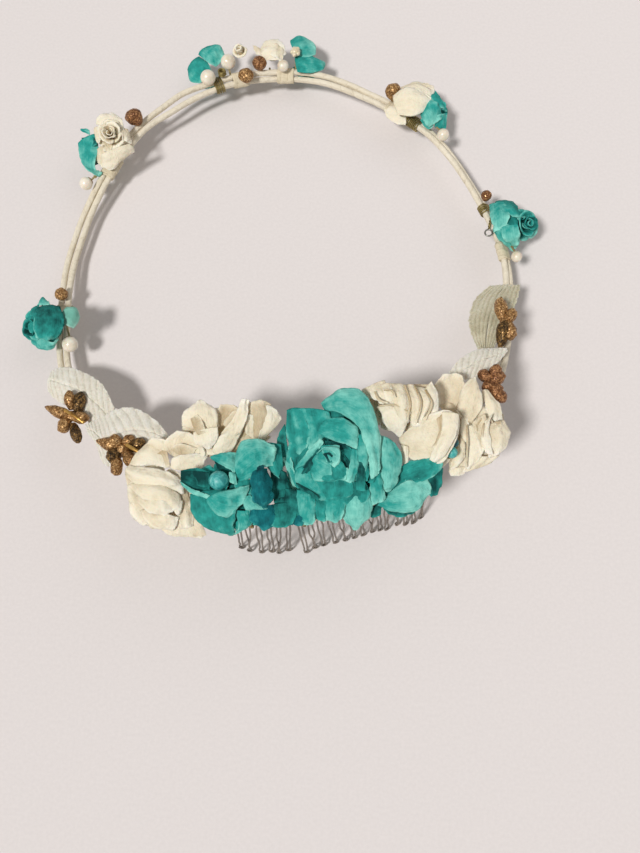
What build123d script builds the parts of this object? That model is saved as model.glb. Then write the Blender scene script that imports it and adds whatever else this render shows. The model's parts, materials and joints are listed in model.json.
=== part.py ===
from build123d import *
import math
import os

os.makedirs("parts", exist_ok=True)

# Flower crown lying on a table: +Z up, +Y to the back of the ring, +X to the wearer's side.
# The comb's tips stand on the table at the front, so the front of the ring is raised.

# ---------------------------------------------------------------- driving dimensions (mm)
ORIGIN_X, ORIGIN_Y = -5.488, 18.191  # centre of the crown's footprint in layout coordinates
STRAND_D = 2.3  # paper-wrapped strand
CORE_D = 1.0  # steel core wire
CORE_GAP = 0.01  # core wire inside its wrap
TAPE_T = 0.4  # floral tape, two turns
TAPE_CLEAR = 0.2
COMB_R = 91.0  # plan radius of the comb spine
COMB_CX, COMB_CY = -4.0, 15.0
SPINE_Z = 36.6
SPINE_D = 1.0
TOOTH_D = 0.6
TOOTH_COUNT = 20
COMB_A0, COMB_A1 = -95.6, -58.6  # first and last tooth, degrees
STEM_D = 0.8
PEARL_STEM_D = 0.7

# centreline of the pair of strands: x, y, z, half distance between strands, half height difference
ROUTE = [
    (-1.2, -76.0, 39.9, 1.28, 0.0),
    (-12.5, -75.7, 39.8, 1.28, 0.0),
    (-23.0, -72.6, 34.8, 1.28, 0.0),
    (-33.0, -66.6, 27.6, 1.28, 0.0),
    (-43.0, -59.4, 21.8, 1.28, 0.0),
    (-53.0, -51.2, 17.6, 1.28, 0.0),
    (-63.0, -41.8, 14.2, 1.28, 0.0),
    (-72.4, -31.4, 11.2, 1.28, 0.0),
    (-79.4, -20.6, 9.0, 1.25, 0.0),
    (-82.2, -10.2, 8.0, 1.25, 0.0),
    (-83.0, -1.0, 8.0, 1.25, 0.0),
    (-83.6, 7.5, 7.5, 1.25, 0.0),
    (-83.8, 16.0, 6.9, 1.25, 0.0),
    (-83.4, 25.2, 6.1, 1.3, 0.0),
    (-81.8, 34.3, 6.0, 1.35, 0.0),
    (-79.5, 43.3, 6.5, 1.3, 0.0),
    (-76.6, 51.1, 7.7, 1.25, 0.0),
    (-72.7, 59.4, 9.3, 1.25, 0.0),
    (-68.4, 67.5, 10.3, 1.35, 0.0),
    (-64.0, 74.8, 10.9, 1.4, 0.0),
    (-58.0, 81.7, 11.7, 1.4, 0.0),
    (-50.8, 87.6, 12.0, 1.9, 0.0),
    (-43.6, 93.3, 12.0, 2.2, 0.0),
    (-35.3, 97.5, 12.0, 1.8, 0.0),
    (-26.8, 101.0, 11.6, 1.4, 0.2),
    (-18.8, 103.5, 10.8, 1.2, 0.5),
    (-9.6, 104.8, 10.2, 1.0, 0.75),
    (-0.4, 104.9, 10.0, 0.95, 0.8),
    (8.8, 103.4, 10.0, 1.15, 0.5),
    (17.4, 100.3, 10.0, 1.3, 0.2),
    (25.8, 96.2, 10.0, 1.3, 0.0),
    (33.9, 91.8, 10.0, 1.28, -0.2),
    (41.4, 86.3, 10.0, 1.2, -0.4),
    (48.7, 80.6, 10.0, 1.1, -0.6),
    (54.9, 73.8, 10.0, 0.95, -0.75),
    (60.1, 66.1, 10.0, 0.8, -0.88),
    (64.6, 58.0, 10.0, 0.78, -0.9),
    (68.8, 49.7, 10.0, 0.78, -0.9),
    (72.6, 41.3, 10.0, 0.78, -0.9),
    (75.6, 32.5, 10.3, 0.78, -0.9),
    (77.4, 23.5, 11.0, 0.8, -0.88),
    (77.7, 14.3, 12.0, 0.85, -0.82),
    (77.0, 5.0, 13.2, 0.95, -0.72),
    (75.4, -6.0, 16.0, 1.1, -0.5),
    (72.6, -17.5, 20.8, 1.2, -0.25),
    (68.6, -28.5, 26.0, 1.25, 0.0),
    (63.2, -39.5, 31.5, 1.25, 0.0),
    (56.0, -50.0, 36.0, 1.25, 0.0),
    (46.5, -59.8, 39.2, 1.28, 0.0),
    (35.5, -67.0, 39.9, 1.28, 0.0),
    (24.0, -71.9, 39.9, 1.28, 0.0),
    (11.5, -74.9, 39.9, 1.28, 0.0),
    (-0.8, -76.0, 39.9, 1.28, 0.0),
]


def at(x, y, z):
    """A layout point in the part's frame."""
    return Vector(x - ORIGIN_X, y - ORIGIN_Y, z)


def save(part, name):
    part.label = name
    export_step(part, "parts/" + name + ".step")


def strand(side):
    """Points of one strand: side +1 is the outer strand, -1 the inner one."""
    points = []
    for i, (x, y, z, half, rise) in enumerate(ROUTE):
        x0, y0 = ROUTE[max(i - 1, 0)][:2]
        x1, y1 = ROUTE[min(i + 1, len(ROUTE) - 1)][:2]
        dx, dy = x1 - x0, y1 - y0
        run = math.hypot(dx, dy)
        # the route runs clockwise seen from above, so outward is to the left of travel
        points.append(
            at(x - dy / run * half * side, y + dx / run * half * side, z + rise * side)
        )
    return points


def fit_radii(points):
    """Largest tangent arc at each corner: 0.45 of the shorter run over the tangent of half the turn."""
    radii = []
    for a, b, c in zip(points, points[1:], points[2:]):
        turn = math.radians((b - a).get_angle(c - b))
        radii.append(0.45 * min((b - a).length, (c - b).length) / math.tan(turn / 2))
    return radii


def aim(origin, direction):
    """A plane at origin whose normal is direction, with a level x axis."""
    z = Vector(*direction).normalized()
    side = Vector(0, 0, 1).cross(z)
    if side.length < 1e-3:
        side = Vector(1, 0, 0)
    return Plane(origin=origin, x_dir=side.normalized(), z_dir=z)


def radial(plane):
    """The plane through a turned shape's axis: sketch x is the radius, sketch y the axis."""
    return Plane(origin=plane.origin, x_dir=plane.x_dir, z_dir=-plane.y_dir)


def bowl(plane, rim, depth, base, wall, lobes, floor=1.0, notch=0.3):
    """A cup of petals: flared wall, flat floor, lobed rim."""
    hole_floor = max(base - wall * 0.4, 0.6)
    with BuildPart() as cup:
        with BuildSketch(radial(plane)):
            with BuildLine():
                Polyline(
                    (0, 0),
                    (base, 0),
                    (base + (rim - base) * 0.62, depth * 0.42),
                    (rim, depth * 0.86),
                    (rim - wall * 0.5, depth),
                    (rim - wall, depth * 0.9),
                    (hole_floor + (rim - wall - hole_floor) * 0.55, depth * 0.5),
                    (hole_floor, floor),
                    (0, floor),
                    close=True,
                )
            make_face()
        revolve(axis=Axis(plane.origin, plane.z_dir))
        if lobes:
            reach = rim * math.sin(math.pi / lobes) * 0.55
            for k in range(lobes):
                a = 2 * math.pi * k / lobes
                corner = plane.from_local_coords(
                    (math.cos(a) * (rim + reach * notch), math.sin(a) * (rim + reach * notch), depth * 0.5)
                )
                with BuildSketch(Plane(origin=corner, x_dir=plane.x_dir, z_dir=plane.z_dir)):
                    Circle(reach)
                extrude(amount=depth, mode=Mode.SUBTRACT)
    return cup.part


def cone_bud(plane, radius, height, base=None):
    """A rolled bud: a rounded spindle standing on its plane."""
    base = base or radius * 0.55
    with BuildPart() as bud:
        with BuildSketch(radial(plane)):
            with BuildLine():
                Polyline(
                    (0, 0),
                    (base, 0),
                    (radius, height * 0.45),
                    (radius * 0.92, height * 0.8),
                    (radius * 0.55, height),
                    (0, height * 0.9),
                    close=True,
                )
            make_face()
        revolve(axis=Axis(plane.origin, plane.z_dir))
    return bud.part


def teardrop(plane, radius, length):
    """A drop with its point at the plane's origin and its round end along the normal."""
    with BuildPart() as drop:
        with BuildSketch(radial(plane)):
            with BuildLine():
                Polyline(
                    (0, 0),
                    (0.35, 0),
                    (radius * 0.88, length - radius * 1.45),
                    (radius, length - radius),
                    (radius * 0.87, length - radius * 0.5),
                    (radius * 0.5, length - radius * 0.134),
                    (0, length),
                    close=True,
                )
            make_face()
        revolve(axis=Axis(plane.origin, plane.z_dir))
    return drop.part


def ball(centre, radius):
    with BuildPart() as b:
        with Locations(centre):
            Sphere(radius)
    return b.part


def rod(a, b, radius):
    """A straight round wire from a to b."""
    with BuildPart() as r:
        with BuildSketch(Plane(origin=a, z_dir=b - a)):
            Circle(radius)
        extrude(amount=(b - a).length)
    return r.part


def group(parts):
    """Separate solids of one node."""
    return Compound(children=[s for p in parts for s in p.solids()])


OUTER, INNER = strand(1), strand(-1)
print("strand radii", [round(min(fit_radii(p)), 1) for p in (OUTER, INNER)])

# ---------------------------------------------------------------- band
band_parts = {}
for tag, points in (("outer", OUTER), ("inner", INNER)):
    with BuildPart() as wrap:
        with BuildLine() as wrap_path:
            FilletPolyline(*points, radius=fit_radii(points))
        with BuildSketch(Plane(origin=wrap_path.line @ 0, z_dir=wrap_path.line % 0)):
            Circle(STRAND_D / 2)
            Circle(CORE_D / 2, mode=Mode.SUBTRACT)
        sweep(path=wrap_path.line)
    with BuildPart() as core:
        with BuildLine() as core_path:
            FilletPolyline(*points, radius=fit_radii(points))
        with BuildSketch(Plane(origin=core_path.line @ 0, z_dir=core_path.line % 0)):
            Circle(CORE_D / 2 - CORE_GAP)
        sweep(path=core_path.line)
    section = math.pi * (STRAND_D**2 - CORE_D**2) / 4
    length = sum(edge.length for edge in wrap_path.edges())
    print(tag, "strand length", round(length, 1), "volume ratio", round(wrap.part.volume / (section * length), 4))
    save(wrap.part, "band_wrap_" + tag)
    save(core.part, "band_core_" + tag)


def across(i, t=0.5):
    """Plane across the pair of strands on run i, its x axis from the inner to the outer strand."""
    o = OUTER[i] + (OUTER[i + 1] - OUTER[i]) * t
    n = INNER[i] + (INNER[i + 1] - INNER[i]) * t
    along = (OUTER[i + 1] - OUTER[i]) + (INNER[i + 1] - INNER[i])
    gap = (o - n).length
    return Plane(origin=(o + n) * 0.5, x_dir=(o - n).normalized(), z_dir=along.normalized()), gap


def collar(i, length, thick, t=0.5, shift=0.0):
    """A flat-sided ring round both strands."""
    plane, gap = across(i, t)
    wide, high = gap + STRAND_D + 2 * TAPE_CLEAR, STRAND_D + 2 * TAPE_CLEAR
    with BuildPart() as ring:
        with BuildSketch(plane.offset(shift - length / 2)):
            SlotOverall(wide + 2 * thick, high + 2 * thick)
            SlotOverall(wide, high, mode=Mode.SUBTRACT)
        extrude(amount=length)
    return ring.part


# splice sleeve: both strands' ends meet inside it
sleeve_a, sleeve_b = at(-5.5, -76.0, 39.9), at(3.5, -76.0, 39.9)
with BuildPart() as splice_sleeve:
    with BuildSketch(Plane(origin=sleeve_a, x_dir=(0, -1, 0), z_dir=(1, 0, 0))):
        SlotOverall(2.56 + STRAND_D + 1.6, STRAND_D + 1.4)
        SlotOverall(2.56 + STRAND_D + 0.8, STRAND_D + 0.6, mode=Mode.SUBTRACT)
    extrude(amount=9.0)
save(splice_sleeve.part, "splice_sleeve")

# tape wraps at the clusters: left, upper left, top (two), upper right, right
TAPES = ((10, 7.0), (17, 8.0), (24, 6.0), (26, 6.5), (31, 7.0), (39, 7.0))
save(group([collar(i, n, TAPE_T) for i, n in TAPES]), "cluster_tape_wraps")

# binding wire coils: turns of fine wire beside the tape, top, upper right and right
COILS = ((23, 5), (32, 8), (37, 5))
turns = []
for i, count in COILS:
    for k in range(count):
        turns.append(collar(i, 0.5, 0.5, 0.5, (k - (count - 1) / 2) * 0.7))
save(group(turns), "binding_wire_coils")

# ---------------------------------------------------------------- comb


def comb_point(degrees, z=SPINE_Z, r=COMB_R):
    a = math.radians(degrees)
    return at(COMB_CX + r * math.cos(a), COMB_CY + r * math.sin(a), z)


with BuildPart() as comb_spine:
    with BuildLine() as spine_path:
        ThreePointArc(
            comb_point(COMB_A0 - 1.6), comb_point((COMB_A0 + COMB_A1) / 2), comb_point(COMB_A1 + 1.6)
        )
    with BuildSketch(Plane(origin=spine_path.line @ 0, z_dir=spine_path.line % 0)):
        Circle(SPINE_D / 2)
    sweep(path=spine_path.line)
save(comb_spine.part, "comb_spine")

# each tooth is a hairpin: two legs from rings round the spine to a round tip
# columns: leg spacing at the top, at the tip, sideways drift of the tip, lean in degrees
TEETH = [
    (1.3, 1.4, -2.0, 7.2),
    (1.3, 1.5, -2.3, 8.3),
    (1.3, 1.3, -1.5, 8.6),
    (1.3, 1.4, -1.2, 8.0),
    (1.3, 1.3, -2.0, 8.6),
    (1.3, 1.5, -2.0, 7.3),
    (1.3, 1.4, 0.9, 9.0),
    (1.3, 1.5, 0.6, 7.2),
    (1.3, 1.4, 0.4, 6.5),
    (1.3, 1.3, 1.3, 6.3),
    (1.3, 1.4, 1.7, 6.3),
    (1.3, 1.3, 1.6, 6.2),
    (1.3, 1.5, 1.5, 6.2),
    (1.3, 1.4, 1.7, 6.1),
    (1.3, 1.3, 1.1, 6.7),
    (1.3, 1.4, 0.1, 7.7),
    (1.3, 1.3, 0.9, 7.7),
    (1.3, 1.4, 0.1, 9.5),
    (1.3, 1.5, -0.4, 10.7),
    (1.3, 1.4, -0.7, 10.3),
]
ring_r = SPINE_D / 2 + TOOTH_D / 2 + 0.01
teeth = []
for k, (top, tip, drift, lean) in enumerate(TEETH):
    degrees = COMB_A0 + (COMB_A1 - COMB_A0) * k / (TOOTH_COUNT - 1)
    c = comb_point(degrees)
    a = math.radians(degrees)
    tangent = Vector(-math.sin(a), math.cos(a), 0)
    out = Vector(math.cos(a), math.sin(a), 0)
    down = (Vector(0, 0, -1) * math.cos(math.radians(lean)) + out * math.sin(math.radians(lean))).normalized()
    front = tangent.cross(down) * -1
    # sketch frame of the hairpin: x along the spine, y up the tooth, in front of the spine
    centre = c + out * 0.0
    length = (SPINE_Z - 0.0 - TOOTH_D / 2) / math.cos(math.radians(lean))
    r = tip / 2
    left_top = centre + tangent * (-top / 2) + down * ring_r
    right_top = centre + tangent * (top / 2) + down * ring_r
    mid = centre + tangent * drift
    left_low = mid + tangent * (-r) + down * length
    right_low = mid + tangent * r + down * length
    with BuildPart() as tooth:
        with BuildLine() as hairpin:
            FilletPolyline(left_top, left_low, right_low, right_top, radius=r * 0.96)
        with BuildSketch(Plane(origin=left_top, z_dir=hairpin.line % 0)):
            Circle(TOOTH_D / 2)
        sweep(path=hairpin.line)
        for s in (-1, 1):
            with Locations(Plane(origin=centre + tangent * (s * top / 2), x_dir=out, z_dir=tangent)):
                Torus(ring_r, TOOTH_D / 2)
    teeth.append(tooth.part)
save(group(teeth), "comb_teeth")

# lashings: turns of fine wire round the spine and both strands, between teeth
lashes = []
for k in (1.5, 6.5, 11.5, 15.5, 18.5):
    degrees = COMB_A0 + (COMB_A1 - COMB_A0) * k / (TOOTH_COUNT - 1)
    a = math.radians(degrees)
    tangent = Vector(-math.sin(a), math.cos(a), 0)
    out = Vector(math.cos(a), math.sin(a), 0)
    with BuildPart() as lash:
        with BuildSketch(Plane(origin=comb_point(degrees, 38.1) - tangent * 0.2, x_dir=out, z_dir=tangent)):
            RectangleRounded(7.2, 7.4, 2.0)
            RectangleRounded(6.4, 6.6, 1.6, mode=Mode.SUBTRACT)
        extrude(amount=0.4)
    lashes.append(lash.part)
save(group(lashes), "comb_lashing")

# ---------------------------------------------------------------- front flowers
# name: base centre, axis, rim radius, depth, base radius, wall, lobes, bud radius, bud height
main = aim(at(16.9, -59.6, 40.6), (0.0, -0.05, 1))
save(bowl(main, 16.8, 10.4, 5.6, 5.0, 7, floor=1.2), "main_rose_outer_petals")
inner = Plane(origin=main.from_local_coords((0, 0, 1.2)), x_dir=main.x_dir, z_dir=main.z_dir)
save(bowl(inner, 9.2, 10.6, 3.4, 3.6, 5, floor=1.2), "main_rose_inner_petals")
heart = Plane(origin=inner.from_local_coords((0, 0, 1.2)), x_dir=main.x_dir, z_dir=main.z_dir)
save(cone_bud(heart, 3.2, 9.4, 1.5), "main_rose_bud")

left_teal = aim(at(-17.5, -67.5, 41.6), (-0.12, -0.12, 1))
save(bowl(left_teal, 9.8, 5.6, 3.4, 2.8, 6, floor=1.2, notch=0.1), "left_teal_flower_petals")
left_bud = aim(at(-3.9, -69.2, 41.4), (0.0, -0.1, 1))
save(cone_bud(left_bud, 3.4, 6.4, 1.8), "left_teal_bud")

right_teal = aim(at(41.6, -64.6, 42.6), (0.15, -0.2, 1))
save(bowl(right_teal, 8.4, 5.4, 3.0, 2.6, 5, floor=1.0, notch=0.1), "right_teal_rose_petals")
heart = Plane(origin=right_teal.from_local_coords((0, 0, 1.0)), x_dir=right_teal.x_dir, z_dir=right_teal.z_dir)
save(cone_bud(heart, 2.4, 4.8, 1.2), "right_teal_rose_bud")

ivory = {
    "left": (at(-39.2, -68.1, 28.2), (-0.15, -0.3, 0.95), 11.4, 7.4, 3.6, 3.4, 6, 4.0, 6.8),
    "upper_left": (at(-22.5, -49.5, 35.0), (-0.1, 0.1, 1), 10.0, 8.0, 3.2, 3.0, 6, 3.8, 7.2),
    "upper_right": (at(33.6, -42.6, 40.0), (-0.05, 0.1, 1), 8.4, 8.6, 3.0, 2.6, 6, 3.2, 7.8),
    "right": (at(61.5, -47.5, 36.2), (0.3, -0.1, 1), 8.4, 6.0, 2.8, 2.6, 6, 3.0, 5.6),
}
stem_ends = {"main": main, "left_teal": left_teal, "left_bud": left_bud, "right_teal": right_teal}
for tag, (base_at, axis, rim, depth, base, wall, lobes, bud_r, bud_h) in ivory.items():
    plane = aim(base_at, axis)
    save(bowl(plane, rim, depth, base, wall, lobes), "ivory_rose_" + tag + "_petals")
    heart = Plane(origin=plane.from_local_coords((0, 0, 1.0)), x_dir=plane.x_dir, z_dir=plane.z_dir)
    save(cone_bud(heart, bud_r, bud_h, 1.4), "ivory_rose_" + tag + "_bud")
    stem_ends[tag] = plane
cup_plane = aim(at(47.2, -48.2, 38.6), (0.1, 0.1, 1))
save(bowl(cup_plane, 5.4, 7.4, 2.0, 1.0, 0), "ivory_cup_flower")
stem_ends["cup"] = cup_plane

# turquoise beads: one in the left flower, two beside the right rose
beads = [ball(left_teal.from_local_coords((0, 0, 4.6)), 3.0), ball(at(52.6, -57.6, 42.6), 1.8), ball(at(54.4, -53.9, 41.0), 1.5)]
save(group(beads), "turquoise_beads")


def nearest_on_band(p):
    """The closest point of the strands' routes to p."""
    best = None
    for line in (OUTER, INNER):
        for a, b in zip(line, line[1:]):
            ab = b - a
            t = max(0.08, min(0.92, (p - a).dot(ab) / ab.dot(ab)))
            q = a + ab * t
            if best is None or (q - p).length < (best - p).length:
                best = q
    return best


def stem_to_band(p, radius=STEM_D / 2, into=0.4):
    """A straight wire from p that bites a little into the nearest strand's wrap."""
    q = nearest_on_band(p)
    d = (q - p).normalized()
    return rod(p, q - d * (STRAND_D / 2 - into), radius)


def bent_stem(plane, drop=2.4, radius=STEM_D / 2, into=0.4):
    """A wire that leaves a flower's base along its axis and bends over to the nearest strand."""
    start = plane.from_local_coords((0, 0, 0.3))
    knee = plane.from_local_coords((0, 0, -drop))
    q = nearest_on_band(knee)
    end = q - (q - knee).normalized() * (STRAND_D / 2 - into)
    with BuildPart() as wire:
        with BuildLine() as route:
            FilletPolyline(start, knee, end, radius=min(1.2, 0.45 * (end - knee).length))
        with BuildSketch(Plane(origin=start, z_dir=route.line % 0)):
            Circle(radius)
        sweep(path=route.line)
    return wire.part


front_stems = [bent_stem(plane) for plane in stem_ends.values()]
front_stems.append(rod(left_teal.from_local_coords((0, 0, 0.8)), left_teal.from_local_coords((0, 0, 2.0)), 0.4))
for b in ((52.6, -57.6, 41.1), (54.4, -53.9, 39.8)):
    front_stems.append(stem_to_band(at(*b), 0.35))
save(group(front_stems), "front_flower_stems")

# ---------------------------------------------------------------- fabric leaves


def leaf(base_at, tip_at, width, side_tilt, thick=0.6):
    """A leaf plate from its base to its tip, pointed at both ends, with a toothed edge."""
    along = tip_at - base_at
    length = along.length
    x = along.normalized()
    up = (Vector(0, 0, 1) - x * x.Z).normalized()
    side = up.cross(x)
    normal = (up * math.cos(math.radians(side_tilt)) + side * math.sin(math.radians(side_tilt))).normalized()
    plane = Plane(origin=base_at, x_dir=x, z_dir=normal)
    teeth_n = 9
    outline = [(0, 0)]
    for sgn in (1, -1):
        half = []
        for k in range(1, 2 * teeth_n):
            t = k / (2 * teeth_n)
            w = width / 2 * math.sin(math.pi * t**0.85) ** 0.7
            half.append((length * t, sgn * (w - (0.5 if k % 2 == 0 else 0.0))))
        outline += half if sgn == 1 else half[::-1]
        if sgn == 1:
            outline.append((length, 0))
    with BuildPart() as blade:
        with BuildSketch(plane):
            with BuildLine():
                Polyline(*outline, close=True)
            make_face()
        extrude(amount=thick)
    return blade.part


LEAVES = {
    "left_rear": ((-52.5, -44.0, 20.6), (-82.5, -17.5, 12.2), 13.0, 0),
    "left_front": ((-33.5, -53.5, 31.5), (-64.0, -38.0, 22.6), 13.0, 4),
    "right_rear": ((69.0, -15.0, 24.2), (77.0, 14.0, 15.0), 12.0, 0),
    "right_front": ((56.0, -33.0, 36.0), (73.5, -13.5, 27.0), 11.0, 0),
}
for tag, (a, b, width, tilt) in LEAVES.items():
    save(leaf(at(*a), at(*b), width, tilt), "fabric_leaf_" + tag)

# ---------------------------------------------------------------- gold sprays


def spray(centre, lobes, rod_ends):
    """Glitter lobes round a hub with one smooth rod."""
    parts = []
    with BuildPart() as hub:
        with Locations(centre):
            Sphere(1.5)
        for dx, dy, dz, n, r in lobes:
            d = Vector(dx, dy, dz).normalized()
            add(teardrop(aim(centre + d * 0.6, (d.X, d.Y, d.Z)), r, n))
        a, b = rod_ends
        add(rod(a, b, 0.9))
    return hub.part


SPRAYS = {
    "left_rear": (
        (-72.6, -38.6, 19.6),
        [(-1, 0.5, 0.0, 8.0, 2.0), (-0.5, 1, 0.1, 6.0, 1.8), (-0.7, -0.7, 0.0, 7.0, 1.9), (0.4, -1, 0.0, 6.5, 1.8), (-0.1, -0.2, 1, 3.0, 1.6)],
        ((-73.0, -37.0, 20.8), (-67.2, -41.0, 21.2)),
    ),
    "left_front": (
        (-53.0, -54.5, 29.5),
        [(-1, 0.3, 0.0, 7.5, 2.0), (-0.4, 1, 0.2, 6.0, 1.8), (-0.7, -0.7, 0.0, 7.5, 2.0), (0.3, -1, 0.0, 6.5, 1.8), (-0.1, -0.2, 1, 3.0, 1.6)],
        ((-52.6, -53.4, 30.6), (-46.6, -55.8, 31.4)),
    ),
    "right_rear": (
        (73.6, -4.0, 25.8),
        [(0.2, 1, 0.0, 7.5, 2.1), (0.9, 0.7, 0.0, 5.0, 1.6), (0.5, -1, 0.15, 7.5, 2.2), (-0.4, -0.9, 0.3, 5.0, 1.7)],
        ((73.6, -4.0, 27.0), (75.0, -9.5, 28.0)),
    ),
    "right_front": (
        (66.4, -30.5, 34.8),
        [(0.2, 1, 0.0, 6.0, 1.9), (1, 0.3, 0.0, 5.5, 1.8), (0.6, -0.9, 0.0, 6.0, 1.9), (-0.6, -0.8, 0.2, 4.0, 1.5)],
        ((66.4, -30.5, 36.0), (62.4, -33.5, 37.0)),
    ),
}
for tag, (c, lobes, (ra, rb)) in SPRAYS.items():
    save(spray(at(*c), lobes, (at(*ra), at(*rb))), "gold_spray_" + tag)

# ---------------------------------------------------------------- rear clusters
rear_stems = []


def small_rose(base_at, axis, rim, depth, base=2.4, wall=2.0, lobes=5):
    """A small paper rose: a cup of petals and its rolled bud, one glued piece."""
    plane = aim(base_at, axis)
    cup = bowl(plane, rim, depth, base, wall, lobes)
    heart = Plane(origin=plane.from_local_coords((0, 0, 1.0)), x_dir=plane.x_dir, z_dir=plane.z_dir)
    bud = cone_bud(heart, rim * 0.42, depth - 1.2, 1.4)
    with BuildPart() as rose:
        add(cup)
        add(bud)
    return rose.part


# left
save(small_rose(at(-88.0, -0.8, 7.255), (-0.97, -0.05, 0.2), 9.0, 9.0), "left_rose")
rear_stems.append(stem_to_band(at(-88.0, -0.8, 7.255)))
with BuildPart() as left_pale_petal:
    petal_plane = aim(at(-79.0, 4.6, 12.4), (-0.15, 0.1, 1))
    with BuildSketch(petal_plane):
        Circle(4.0)
    extrude(amount=0.8)
save(left_pale_petal.part, "left_pale_petal")
rear_stems.append(stem_to_band(at(-79.0, 4.6, 12.4)))

# upper left
save(small_rose(at(-68.0, 71.8, 13.6), (-0.15, 0.2, 1), 8.0, 6.6), "upper_left_rose")
rear_stems.append(stem_to_band(at(-68.0, 71.8, 13.6)))
save(small_rose(at(-75.2, 67.6, 7.2), (-0.9, 0.15, 0.25), 7.2, 7.0), "upper_left_teal_blossom")
rear_stems.append(stem_to_band(at(-75.2, 67.6, 7.2)))

# top
blossoms = [
    bowl(aim(at(-34.6, 104.2, 3.868), (-0.3, 0.8, 0.5)), 7.5, 6.0, 2.2, 1.6, 3),
    bowl(aim(at(1.0, 109.2, 3.868), (0.4, 0.75, 0.5)), 7.5, 6.0, 2.2, 1.6, 3),
]
save(group(blossoms), "top_teal_blossoms")
rear_stems.append(stem_to_band(at(-34.6, 104.2, 3.868)))
rear_stems.append(stem_to_band(at(1.0, 109.2, 3.868)))
top_ivory = [
    small_rose(at(-22.4, 109.6, 7.0), (-0.05, 0.85, 0.5), 4.6, 6.5, 1.6, 1.4, 4),
    small_rose(at(-11.8, 110.4, 7.6), (0.0, 0.8, 0.6), 5.0, 6.5, 1.6, 1.4, 5),
]
save(group(top_ivory), "top_ivory_roses")
rear_stems.append(stem_to_band(at(-22.4, 109.6, 7.0)))
rear_stems.append(stem_to_band(at(-11.8, 110.4, 7.6)))
TOP_PEARLS = ((-34.6, 100.8, 17.0, 3.3), (-27.6, 107.7, 15.6, 3.3), (-5.4, 107.2, 15.2, 2.35))
save(group([ball(at(x, y, z), r) for x, y, z, r in TOP_PEARLS]), "top_pearls")
for x, y, z, r in TOP_PEARLS:
    c = at(x, y, z)
    d = (nearest_on_band(c) - c).normalized()
    rear_stems.append(stem_to_band(c + d * (r - 0.3), 0.35))
save(ball(at(-1.2, 112.0, 15.1), 2.3), "top_cream_bead")
rear_stems.append(stem_to_band(at(-1.2, 110.4, 12.9), 0.35))
knot = []
for k in range(3):
    with BuildPart() as loop:
        with Locations(Plane(origin=at(-29.4, 102.2, 14.4 + 0.85 * k), x_dir=(1, 0, 0), z_dir=(0.1 * (k - 1), 0.1, 1))):
            Torus(1.1, 0.38)
    knot.append(loop.part)
save(group(knot), "top_wire_knot")

# gold pips that sit fixed against their clusters
PIPS = (
    ((-84.2, 9.6, 8.9), (0.1, 0.1, 1), 2.3, 4.8),
    ((-60.4, 80.2, 12.9), (-0.45, 0.5, 0.7), 3.2, 7.0),
    ((-20.0, 101.4, 12.8), (0.0, -0.2, 1), 2.8, 5.4),
    ((-15.6, 106.6, 12.4), (0.2, 0.1, 1), 2.7, 5.4),
    ((38.6, 90.9, 12.3), (-0.4, 0.7, 0.55), 3.0, 7.4),
    ((70.2, 48.6, 12.1), (0.2, 0.1, 1), 1.9, 4.6),
)
save(group([teardrop(aim(at(*p), d), r, n) for p, d, r, n in PIPS]), "gold_pips")

# upper right
save(small_rose(at(44.4, 91.2, 12.4), (0.5, 0.6, 0.6), 6.0, 6.4, 2.0, 1.8, 5), "upper_right_ivory_bud")
rear_stems.append(stem_to_band(at(44.4, 91.2, 12.4)))
save(small_rose(at(51.0, 85.0, 11.0), (0.75, 0.35, 0.55), 5.4, 6.0, 1.8, 1.6, 4), "upper_right_teal_bud")
rear_stems.append(stem_to_band(at(51.0, 85.0, 11.0)))

# right
save(small_rose(at(77.4, 38.6, 9.8), (0.97, 0.0, 0.22), 8.7, 8.6), "right_rose")
rear_stems.append(stem_to_band(at(77.4, 38.6, 9.8)))
with BuildPart() as wire_eye:
    with Locations(Plane(origin=at(71.2, 34.4, 13.4), x_dir=(1, 0, 0), z_dir=(0, 0.2, 1))):
        Torus(1.3, 0.3)
    add(rod(at(71.3, 35.9, 13.3), at(72.4, 41.0, 12.9), 0.45))
save(wire_eye.part, "wire_eye")

save(group(rear_stems), "rear_flower_stems")

# ---------------------------------------------------------------- pearls on bendable wire stems
# name: hinge point where the stem leaves the binding, pearl centre, pearl radius
PICKS = {
    "left": ((-80.8, -1.6, 10.8), (-78.3, -10.1, 12.6), 2.85),
    "upper_left": ((-76.0, 58.6, 11.4), (-79.2, 55.6, 11.6), 2.5),
    "upper_right": ((53.2, 79.2, 13.6), (55.5, 75.2, 14.2), 2.3),
    "right": ((79.4, 28.9, 13.6), (80.7, 24.3, 14.4), 2.0),
}
for tag, (hinge, centre, r) in PICKS.items():
    h, c = at(*hinge), at(*centre)
    d = (c - h).normalized()
    seat = c - d * (r - 0.3)
    with BuildPart() as pearl:
        with Locations(c):
            Sphere(r)
        with BuildSketch(Plane(origin=c, z_dir=-d)):
            Circle(PEARL_STEM_D / 2 + 0.3)
        extrude(amount=r + 1, mode=Mode.SUBTRACT)
    with BuildPart() as stem:
        with BuildSketch(Plane(origin=h, z_dir=d)):
            Circle(PEARL_STEM_D / 2)
        extrude(amount=(c - h).length)
        with BuildSketch(Plane(origin=c, z_dir=-d)):
            Circle(PEARL_STEM_D / 2 + 0.3)
        extrude(amount=r + 0.2)
        # the stem's first turn, an upright eye that the pearl swings on
        with Locations(h):
            Cylinder(0.45, 0.8)
    save(pearl.part, tag + "_pearl")
    save(stem.part, tag + "_pearl_stem")
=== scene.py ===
import json
import math

import bpy
import numpy as np
from mathutils import Matrix


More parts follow.
